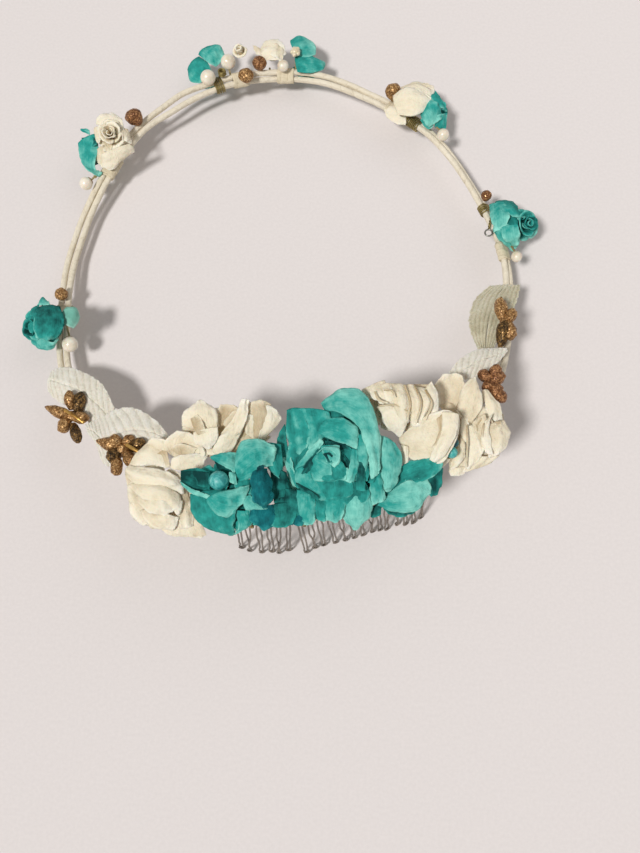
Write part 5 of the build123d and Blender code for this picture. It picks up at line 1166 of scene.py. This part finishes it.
for k in (1.5, 6.5, 11.5, 15.5, 18.5):
    deg = COMB_A0 + (COMB_A1 - COMB_A0) * k / 19
    a = math.radians(deg)
    tan = np.array([-math.sin(a), math.cos(a), 0])
    out = np.array([math.cos(a), math.sin(a), 0])
    c = comb_point(deg, 38.1)
    q = np.linspace(0, 2 * math.pi * 2, 120)
    X = np.sign(np.cos(q)) * np.abs(np.cos(q)) ** 0.5 * 3.4
    Z = np.sign(np.sin(q)) * np.abs(np.sin(q)) ** 0.5 * 3.5
    P = c + np.outer(X, out) + np.outer(Z, [0, 0, 1]) + np.outer((q / (4 * math.pi) - 0.5) * 0.9, tan)
    tube(pc, P, 0.22, 8)
finish_piece(pc, "comb_lashing", OLIVE)

# ------------------------------------------------------------------ front flowers


def spot(k):
    return np.array(SPOTS[k])


def from_patches(pc, key, seed, m=0, tone=0.0, crumple=0.6):
    for i, (rows, opt) in enumerate(PATCHES[key]):
        patch(pc, rows, opt, seed + i * 3, base_tone=tone, m=m, crumple=crumple)


# main rose
pc = Piece()
# under-rings with negative tones: painted shade under the outlined petals
rose(pc, (16.9, -59.6, 40.6), (0, -0.05, 1), 14.6, 6.6, 3, -0.35, layers=2, petals=7, bud=False)
rose(pc, (16.9, -59.6, 42.2), (0, -0.05, 1), 10.8, 5.4, 4, -0.5, layers=1, petals=6, bud=False)
from_patches(pc, "main_outer", 11)
finish_piece(pc, "main_rose_outer_petals", TEAL)
pc = Piece()
rose(pc, (16.9, -59.6, 42.6), (0, -0.05, 1), 7.6, 5.6, 5, -0.45, layers=2, petals=5, bud=False)
from_patches(pc, "main_inner", 61)
finish_piece(pc, "main_rose_inner_petals", TEAL)
pc = Piece()
b = spot("budM")
fr = frame_of((0, -0.18, 1))
spiral(pc, b - fr[2] * 6.6, fr, 0.45, 3.0, 7.2, 2.0, 9, -0.25, start=0.6, squash=0.86, flare=0.3)
from_patches(pc, "main_bud", 91)
finish_piece(pc, "main_rose_bud", TEAL)

# left teal flower with a bead for a centre
pc = Piece()
rose(pc, (-17.5, -67.5, 41.4), (-0.12, -0.12, 1), 7.6, 3.4, 6, -0.5, layers=2, petals=6, bud=False)
from_patches(pc, "left_teal", 101)
finish_piece(pc, "left_teal_flower_petals", TEAL)
pc = Piece()
fr = frame_of((0, -0.1, 1))
from_patches(pc, "left_bud", 131, crumple=0.7)
n = 6
for i in range(5):
    polar_petal(pc, (-3.9, -69.2, 41.2), fr, i * 1.26, 0.75, 0.8, 3.2, 0, 3.4, 0.2, 150 + i, -0.45, m=1, crumple=0.7)
finish_piece(pc, "left_teal_bud", [TEAL, TEAL_DEEP])

# right teal rose
pc = Piece()
rose(pc, (41.6, -64.6, 40.4), (0.15, -0.2, 1), 6.0, 2.4, 8, -0.45, layers=1, petals=5, bud=False)
from_patches(pc, "right_teal", 161)
finish_piece(pc, "right_teal_rose_petals", TEAL)
pc = Piece()
fr = frame_of((0.15, -0.2, 1))
spiral(pc, np.array((41.6, -64.6, 40.8)), fr, 0.4, 1.7, 2.4, 1.6, 12, -0.15)
finish_piece(pc, "right_teal_rose_bud", TEAL)

IVORY_ROSES = {
    "left": ((-39.2, -68.1, 28.2), (-0.15, -0.3, 0.95), 10.2, 5.2, 4.0, 6.4, "ivory_left", "budR1"),
    "upper_left": ((-22.5, -49.5, 35.0), (-0.1, 0.1, 1), 8.6, 6.2, 3.8, 7.0, "ivory_upper_left", None),
    "upper_right": ((33.6, -42.6, 40.0), (-0.05, 0.1, 1), 7.4, 6.6, 3.2, 7.6, "ivory_upper_right", "budR3"),
    "right": ((61.5, -47.5, 36.2), (0.3, -0.1, 1), 7.2, 4.6, 3.0, 5.6, "ivory_right", "budR5"),
}
for j, (tag, (base, axis, rim, depth, br, bh, key, bud)) in enumerate(IVORY_ROSES.items()):
    pc = Piece()
    # the ring under the outlined petals gets tone -0.35: painted shade
    rose(pc, base, axis, rim, depth * 0.8, 20 + j, -0.35, layers=2, petals=6, bud=False)
    from_patches(pc, key, 200 + 40 * j, crumple=0.5)
    finish_piece(pc, f"ivory_rose_{tag}_petals", IVORY)
    pc = Piece()
    fr = frame_of(axis)
    if bud:
        b = spot(bud)
        spiral(pc, b - fr[2] * (bh + 1.6), fr, 0.35, br * 0.6, bh - 1.0, 2.0, 50 + j, -0.1, start=j)
    else:
        spiral(pc, np.array(base) + fr[2] * 1.0, fr, 0.35, br * 0.7, bh * 0.7, 2.3, 50 + j, -0.1, start=j)
    finish_piece(pc, f"ivory_rose_{tag}_bud", IVORY)
pc = Piece()
fr = frame_of((0.1, 0.1, 1))
for i in range(4):
    polar_petal(pc, (47.2, -48.2, 38.8), fr, i * 1.57 + 0.3, 0.95, 1.0, 4.4, 0, 4.6, 0.3, 300 + i, -0.3)
from_patches(pc, "ivory_cup", 310, crumple=0.42)
finish_piece(pc, "ivory_cup_flower", IVORY)

# ------------------------------------------------------------------ beads
pc = Piece()
blob(pc, spot("bead"), 2.95, (0.1, -0.3, 1), 0.95, 0.03, 3)
blob(pc, spot("beadR"), 1.8, (0, 0, 1), 1.0, 0.02, 4)
blob(pc, spot("beadR2"), 1.45, (0, 0, 1), 1.0, 0.02, 5, m=1)
finish_piece(pc, "turquoise_beads", [BEAD, BEAD_DARK])

# ------------------------------------------------------------------ fabric leaves


def fabric_leaf(tag, key, mat, seed, ribs, slant, amp, teeth, split=None, nu=64, nv=110):
    rows = PATCHES[key][0][0]
    R = np.array(rows, float)
    L, Rt = catmull(R[:, :3], 24), catmull(R[:, 3:], 24)
    t = np.linspace(0, len(L) - 1, nv)
    L = np.stack([np.interp(t, np.arange(len(L)), L[:, k]) for k in range(3)], 1)
    Rt = np.stack([np.interp(t, np.arange(len(Rt)), Rt[:, k]) for k in range(3)], 1)
    C, H = (L + Rt)[:, None] / 2, (Rt - L)[:, None] / 2
    u = np.linspace(-1, 1, nu)[None, :]
    v = np.linspace(0, 1, nv)[:, None]
    saw = 1 - 0.045 * ((v * teeth) % 1.0) - 0.03 * ((v * teeth * 1.7 + 0.4) % 1.0)
    G = C + H * (u * saw)[..., None]
    n = unit(np.cross(Rt[nv // 2] - L[nv // 2], C[-1, 0] - C[0, 0]))
    if n[2] < 0:
        n = -n
    w = np.linalg.norm(H, axis=-1)
    length = np.linalg.norm(C[-1, 0] - C[0, 0])
    if split == "fan":
        phase = ribs * 9 * u + 0 * v
    else:
        phase = ribs * (v * length * math.cos(slant) + u * w * math.sin(slant)) + 0.12 * vnoise(np.stack(np.broadcast_arrays(u * 2, v * 6, 0 * u), -1), seed)
    rib = np.abs(np.sin(phase * math.pi)) ** 0.6
    arch = 1.3 * (1 - u**2) * np.sin(math.pi * np.clip(v, 0, 1)) - 0.5 * np.exp(-((u / 0.06) ** 2))
    big = 0.5 * vnoise(np.stack(np.broadcast_arrays(u * 1.2, v * 2.6, seed + 0.3 + 0 * u), -1), seed)
    G = G + n * (arch + amp * (rib - 0.6) + big)[..., None]
    edge = np.maximum(np.abs(u) ** 10 * np.ones_like(v), v**12 * np.ones_like(u))
    # tone follows the rib relief: painted shade in the troughs, painted light on the crests
    tone = 0.5 * (rib - 0.72) + 0.12 * vnoise(np.stack(np.broadcast_arrays(u * 6, v * 16, seed + 0 * u), -1), seed + 8)
    G = G + np.array([0, 0, 1.0]) * (0.22 * edge * vnoise(G / 0.9, seed))[..., None]
    uv = np.stack(np.broadcast_arrays(u * w, v * length), -1)
    pc = Piece()
    shell(pc, G, 0.26, tone, edge, 0.12, seed, uv=uv)
    ob = finish_piece(pc, "fabric_leaf_" + tag, mat)


fabric_leaf("left_rear", "leaf_left_rear", LEAF_WHITE, 71, 0.5, 0.5, 0.34, 16)
fabric_leaf("left_front", "leaf_left_front", LEAF_WHITE, 72, 0.52, 0.45, 0.4, 14)
fabric_leaf("right_rear", "leaf_right_rear", LEAF_SHEER, 73, 0.5, 1.25, 0.35, 9, split="fan")
fabric_leaf("right_front", "leaf_right_front", LEAF_WHITE, 74, 0.55, 0.6, 0.32, 12)

# ------------------------------------------------------------------ gold sprays
RODS = {
    "left_rear": ("rod1a", "rod1b"),
    "left_front": ("rod2a", "rod2b"),
}
LOBE_R = {'left_rear': [(2.0, 1), (1.9, 0), (2.2, 0), (2.0, 0), (2.2, 0), (1.9, 0)], 'left_front': [(2.1, 1), (2.0, 0), (2.3, 0), (2.2, 0), (2.0, 0), (2.3, 0), (2.0, 0)], 'right_rear': [(2.3, 0), (2.0, 0), (2.5, 1), (2.2, 0)], 'right_front': [(2.0, 0), (2.0, 0), (2.0, 0), (2.0, 0), (2.1, 0), (1.8, 0)]}
for tag, radii in LOBE_R.items():
    pc = Piece()
    hub = np.mean([spot(f"lobe_{tag}_{i}a") for i in range(len(radii))], 0)
    blob(pc, hub, 1.9, (0, 0, 1), 0.8, 0.25, 3)
    for i, (r, point) in enumerate(radii):
        a, b = spot(f"lobe_{tag}_{i}a"), spot(f"lobe_{tag}_{i}b")
        d = b - a
        n = np.linalg.norm(d)
        blob(pc, (a + b) / 2, r, unit(d), max(n / r / 2 + 0.42, 1.0), 0.16, 30 + i, taper=-0.42 if point else 0.12, m=1 if (i % 3 == 2) else 0)
    if tag in RODS:
        a, b = spot(RODS[tag][0]), spot(RODS[tag][1])
        tube(pc, catmull([a, (a + b) / 2 + [0, 0, 0.4], b], 10), 0.62, 12, m=2)
    mats = [GOLD, BRONZE, ROD] if tag != "right_front" else [COPPER, COPPER, ROD]
    finish_piece(pc, "gold_spray_" + tag, mats)

pc = Piece()
for i, (p, d, r, n) in enumerate((
    ((-84.2, 9.6, 8.9), (0.1, 0.1, 1), 2.3, 4.8),
    ((-60.4, 80.2, 12.9), (-0.45, 0.5, 0.7), 3.2, 7.0),
    ((-20.0, 101.4, 12.8), (0.0, -0.2, 1), 2.8, 5.4),
    ((-15.6, 106.6, 12.4), (0.2, 0.1, 1), 2.7, 5.4),
    ((38.6, 90.9, 12.3), (-0.4, 0.7, 0.55), 3.0, 7.4),
    ((70.2, 48.6, 12.1), (0.2, 0.1, 1), 1.9, 4.6),
)):
    d = unit(d)
    c = np.array(p) + d * (n - r) * 0.86
    blob(pc, c, r, d, max(n / r / 2.1, 1.0), 0.12, 60 + i, taper=0.25, m=i % 2)
finish_piece(pc, "gold_pips", [GOLD, COPPER])

# ------------------------------------------------------------------ rear clusters
# room for the left pearl over its whole bend
for a in (-12, -9, -6, -3, 0, 3):
    ca, sa = math.cos(math.radians(a)), math.sin(math.radians(a))
    KEEP_CLEAR.append((np.array((-80.8 + 2.5 * ca + 8.5 * sa, -1.6 + 2.5 * sa - 8.5 * ca, 12.6)), 3.5))
pc = Piece()
rose(pc, spot("c_left_rose"), (-0.35, -0.42, 0.84), 7.2, 9.4, 501, -0.3, layers=3, petals=5, closed=0.5)
from_patches(pc, "left_rose", 601)
finish_piece(pc, "left_rose", [TEAL, TEAL_DEEP])
KEEP_CLEAR.clear()
pc = Piece()
from_patches(pc, "left_pale", 611)
tube(pc, catmull([(-80.4, 4.4, 11.2), spot("c_left_rose") * 0.35 + np.array((-79.0, 2.5, 17.0)) * 0.65], 10), 0.35, 8)
finish_piece(pc, "left_pale_petal", TEAL_PALE)
pc = Piece()
rose(pc, spot("c_ul_rose"), (0.05, -0.35, 0.93), 6.2, 7.0, 520, -0.05, layers=3, petals=5, closed=0.45, crumple=0.5)
from_patches(pc, "upper_left_rose", 621)
finish_piece(pc, "upper_left_rose", IVORY)
pc = Piece()
rose(pc, (-75.2, 67.6, 8.4), (-0.9, 0.15, 0.25), 4.2, 5.2, 530, -0.3, layers=1, petals=4, bud=False)
from_patches(pc, "upper_left_teal", 631)
finish_piece(pc, "upper_left_teal_blossom", TEAL)
pc = Piece()
from_patches(pc, "top_teal_a", 641)
from_patches(pc, "top_teal_b", 651)
rose(pc, (-33.6, 103.0, 5.2), (-0.3, 0.6, 0.8), 4.4, 3.4, 540, -0.35, layers=1, petals=4, bud=False)
rose(pc, (0.6, 107.6, 5.6), (0.4, 0.5, 0.8), 4.4, 3.6, 541, -0.35, layers=1, petals=4, bud=False)
finish_piece(pc, "top_teal_blossoms", TEAL)
pc = Piece()
rose(pc, spot("c_top1") - [0, 0, 3], (-0.05, -0.2, 1.0), 2.7, 4.2, 550, 0.05, layers=2, petals=4, closed=0.3)
rose(pc, spot("c_top2") - [0, 0, 1], (0.0, -0.2, 1.0), 4.0, 5.4, 551, -0.05, layers=2, petals=5, closed=0.3)
from_patches(pc, "top_ivory", 661)
finish_piece(pc, "top_ivory_roses", IVORY)
pc = Piece()
for i, (k, r) in enumerate((("pearl1", 2.9), ("pearl2", 2.9), ("pearl3", 2.2))):
    blob(pc, spot(k), r, (0.2, -0.3, 1), 0.98, 0.012, 3 + i, nu=40, nv=26)
finish_piece(pc, "top_pearls", PEARL)
pc = Piece()
blob(pc, (-1.2, 112.0, 15.1), 1.8, (0.2, -0.3, 1), 0.97, 0.10, 9, nu=36, nv=24)
for i in range(5):
    blob(pc, (-1.2 - 1.2 * math.cos(i * 1.3), 111.6 - 1.6 * math.sin(i * 1.3), 15.6 + 0.3 * (i % 2)), 0.85, (0, 0, 1), 0.9, 0.15, 20 + i, nu=18, nv=12)
finish_piece(pc, "top_cream_bead", CREAM)
pc = Piece()
q = np.linspace(0, 2 * math.pi * 3, 130)
tube(pc, np.array((-29.4, 102.2, 14.2)) + np.stack([np.cos(q) * 1.2, np.sin(q) * 1.2, q / (2 * math.pi) * 0.85], 1), 0.38, 9)
finish_piece(pc, "top_wire_knot", OLIVE)
pc = Piece()
rose(pc, spot("c_ur_ivory") - [0, 0, 0.5], (0.2, -0.1, 0.95), 4.6, 5.6, 560, -0.15, layers=2, petals=5, closed=0.4)
from_patches(pc, "ur_ivory", 671)
finish_piece(pc, "upper_right_ivory_bud", IVORY)
pc = Piece()
rose(pc, spot("c_ur_teal"), (0.4, -0.1, 0.9), 4.2, 5.8, 570, -0.2, layers=2, petals=4, closed=0.5)
from_patches(pc, "ur_teal", 681)
finish_piece(pc, "upper_right_teal_bud", TEAL)
pc = Piece()
rose(pc, spot("c_right_rose"), (0.42, -0.3, 0.85), 6.6, 9.2, 580, -0.15, layers=3, petals=5, closed=0.5)
from_patches(pc, "right_rose", 691)
finish_piece(pc, "right_rose", TEAL)
pc = Piece()
q = np.linspace(0, 2 * math.pi, 60)
eye = np.array((71.2, 34.4, 13.4)) + np.stack([np.sin(q) * 1.3, -np.cos(q) * -1.3 * 1.0, 0.1 * np.sin(q)], 1)
tail = catmull([(71.3, 35.9, 13.3), (71.8, 38.4, 13.2), (72.4, 41.0, 12.9)], 12)
tube(pc, eye, 0.3, 8)
q = np.linspace(0, 1, len(tail)) * 14
for ph in (0, math.pi):
    tube(pc, tail + np.stack([np.cos(q + ph) * 0.24, 0 * q, np.sin(q + ph) * 0.24], 1), 0.26, 7, m=1)
finish_piece(pc, "wire_eye", [GREY, OLIVE])

# ------------------------------------------------------------------ pearls on their wire stems
for tag, (h, c, r) in {
    "left": ((-80.8, -1.6, 10.8), (-78.3, -10.1, 12.6), 2.85),
    "upper_left": ((-76.0, 58.6, 11.4), (-79.2, 55.6, 11.6), 2.5),
    "upper_right": ((53.2, 79.2, 13.6), (55.5, 75.2, 14.2), 2.3),
    "right": ((79.4, 28.9, 13.6), (80.7, 24.3, 14.4), 2.0),
}.items():
    h, c = np.array(h), np.array(c)
    d = unit(c - h)
    pc = Piece()
    blob(pc, c, r, d, 0.98, 0.012, 5, nu=40, nv=26)
    finish_piece(pc, tag + "_pearl", PEARL, body=tag + "_pearl_pick")
    pc = Piece()
    side = unit(np.cross(d, [0, 0, 1]))
    q = np.linspace(0, 1, 12)[:, None]
    tube(pc, h + (c - d * (r - 0.4) - h) * q + side * 0.12 * np.sin(q * 6), 0.36, 10)
    q = np.linspace(0, 2 * math.pi * 1.6, 36)
    tube(pc, h + np.stack([np.cos(q) * 0.42, np.sin(q) * 0.42, (q / 10 - 0.5) * 0.7], 1), 0.2, 7)
    # the cap that holds the pearl
    X, Y, Z = frame_of(d)
    a = 2 * math.pi * np.arange(28)[None, :] / 28
    b = np.linspace(0.05, 0.62, 8)[:, None]
    rr = (r + 0.1) * (1 + 0.03 * np.cos(7 * a) * (b / 0.62))
    G = c - Z * (rr * np.cos(b))[..., None] + X * (rr * np.sin(b) * np.cos(a))[..., None] + Y * (rr * np.sin(b) * np.sin(a))[..., None]
    Gi = c + (G - c) * (r - 0.08) / (r + 0.1)
    pc.add(np.vstack([G.reshape(-1, 3), Gi.reshape(-1, 3)]), np.vstack([grid_faces(8, 28, True), grid_faces(8, 28, True)[:, ::-1] + 224, np.stack([196 + np.arange(28), 196 + 224 + np.arange(28), 196 + 224 + (np.arange(28) + 1) % 28, 196 + (np.arange(28) + 1) % 28], 1)[:, ::-1], np.stack([np.arange(28), (np.arange(28) + 1) % 28, 224 + (np.arange(28) + 1) % 28, 224 + np.arange(28)], 1)[:, ::-1]]), np.zeros((448, 2)), 0.0, 0.0, 1)
    finish_piece(pc, tag + "_pearl_stem", [STEMW, TAN], body=tag + "_pearl_pick")

# ------------------------------------------------------------------ CAD nodes that stay
for name, mat in (("band_core_inner", STEEL), ("band_core_outer", STEEL), ("front_flower_stems", STEMW), ("rear_flower_stems", STEMW)):
    ob = frame["nodes"][name]
    ob.data.materials.clear()
    ob.data.materials.append(mat)
    for p in ob.data.polygons:
        p.use_smooth = True

# ------------------------------------------------------------------ stage, light and camera
M = Mat("pale_floor")
M.link(M.ramp(M.noise(900, 3), [(0.3, (222, 216, 214)), (0.7, (227, 221, 219))]), M.p.inputs["Base Color"])
M.set(Roughness=0.8, Specular_IOR_Level=0.2)
me = bpy.data.meshes.new("floor")
me.from_pydata([(-1.5, -1.5, 0), (1.5, -1.5, 0), (1.5, 1.5, 0), (-1.5, 1.5, 0)], [], [(0, 1, 2, 3)])
me.materials.append(M.m)
floor = bpy.data.objects.new("floor", me)
bpy.context.scene.collection.objects.link(floor)


def lamp(name, kind, energy, direction, size, colour=(1, 1, 1), dist=1.4):
    d = unit(direction)
    li = bpy.data.lights.new(name, kind)
    li.energy = energy
    li.color = colour
    if kind == "SUN":
        li.angle = size
    else:
        li.shape = "DISK"
        li.size = size
    ob = bpy.data.objects.new(name, li)
    X, Y, Z = frame_of(d)
    ob.matrix_world = Matrix(((X[0], Y[0], Z[0], d[0] * dist), (X[1], Y[1], Z[1], d[1] * dist), (X[2], Y[2], Z[2], d[2] * dist), (0, 0, 0, 1)))
    bpy.context.scene.collection.objects.link(ob)


lamp("key", "SUN", 2.35, (-0.4, -0.44, 1.0), 0.16, (1.0, 0.985, 0.97))
lamp("fill", "AREA", 2.2, (0.8, 0.5, 1.0), 1.2, (0.96, 0.97, 1.0))
world = bpy.data.worlds.new("studio")
bpy.context.scene.world = world
world.use_nodes = True
bg = world.node_tree.nodes["Background"]
bg.inputs["Color"].default_value = (1.0, 0.965, 0.94, 1)
bg.inputs["Strength"].default_value = 0.33
bpy.context.scene.view_settings.view_transform = "Standard"

cam = bpy.data.cameras.new("camera")
cam.lens = 37.11
cam.sensor_width = 36.0
cam.clip_start = 0.01
cam.dof.use_dof = False
camera = bpy.data.objects.new("camera", cam)
RW = [
    [0.9994949485868327, 0.01862973626408082, -0.025744488286737328],
    [0.010448997023804175, -0.9577535348672469, -0.28740039128451134],
    [-0.03001106815179518, 0.28698623551666114, -0.9574644831075273],
]
loc = ((20.19097851 - OX) / 1000, (-126.16309389 - OY) / 1000, 0.30122781401)
camera.matrix_world = Matrix(
    (
        (RW[0][0], -RW[1][0], -RW[2][0], loc[0]),
        (RW[0][1], -RW[1][1], -RW[2][1], loc[1]),
        (RW[0][2], -RW[1][2], -RW[2][2], loc[2]),
        (0, 0, 0, 1),
    )
)
bpy.context.scene.collection.objects.link(camera)
bpy.context.scene.camera = camera
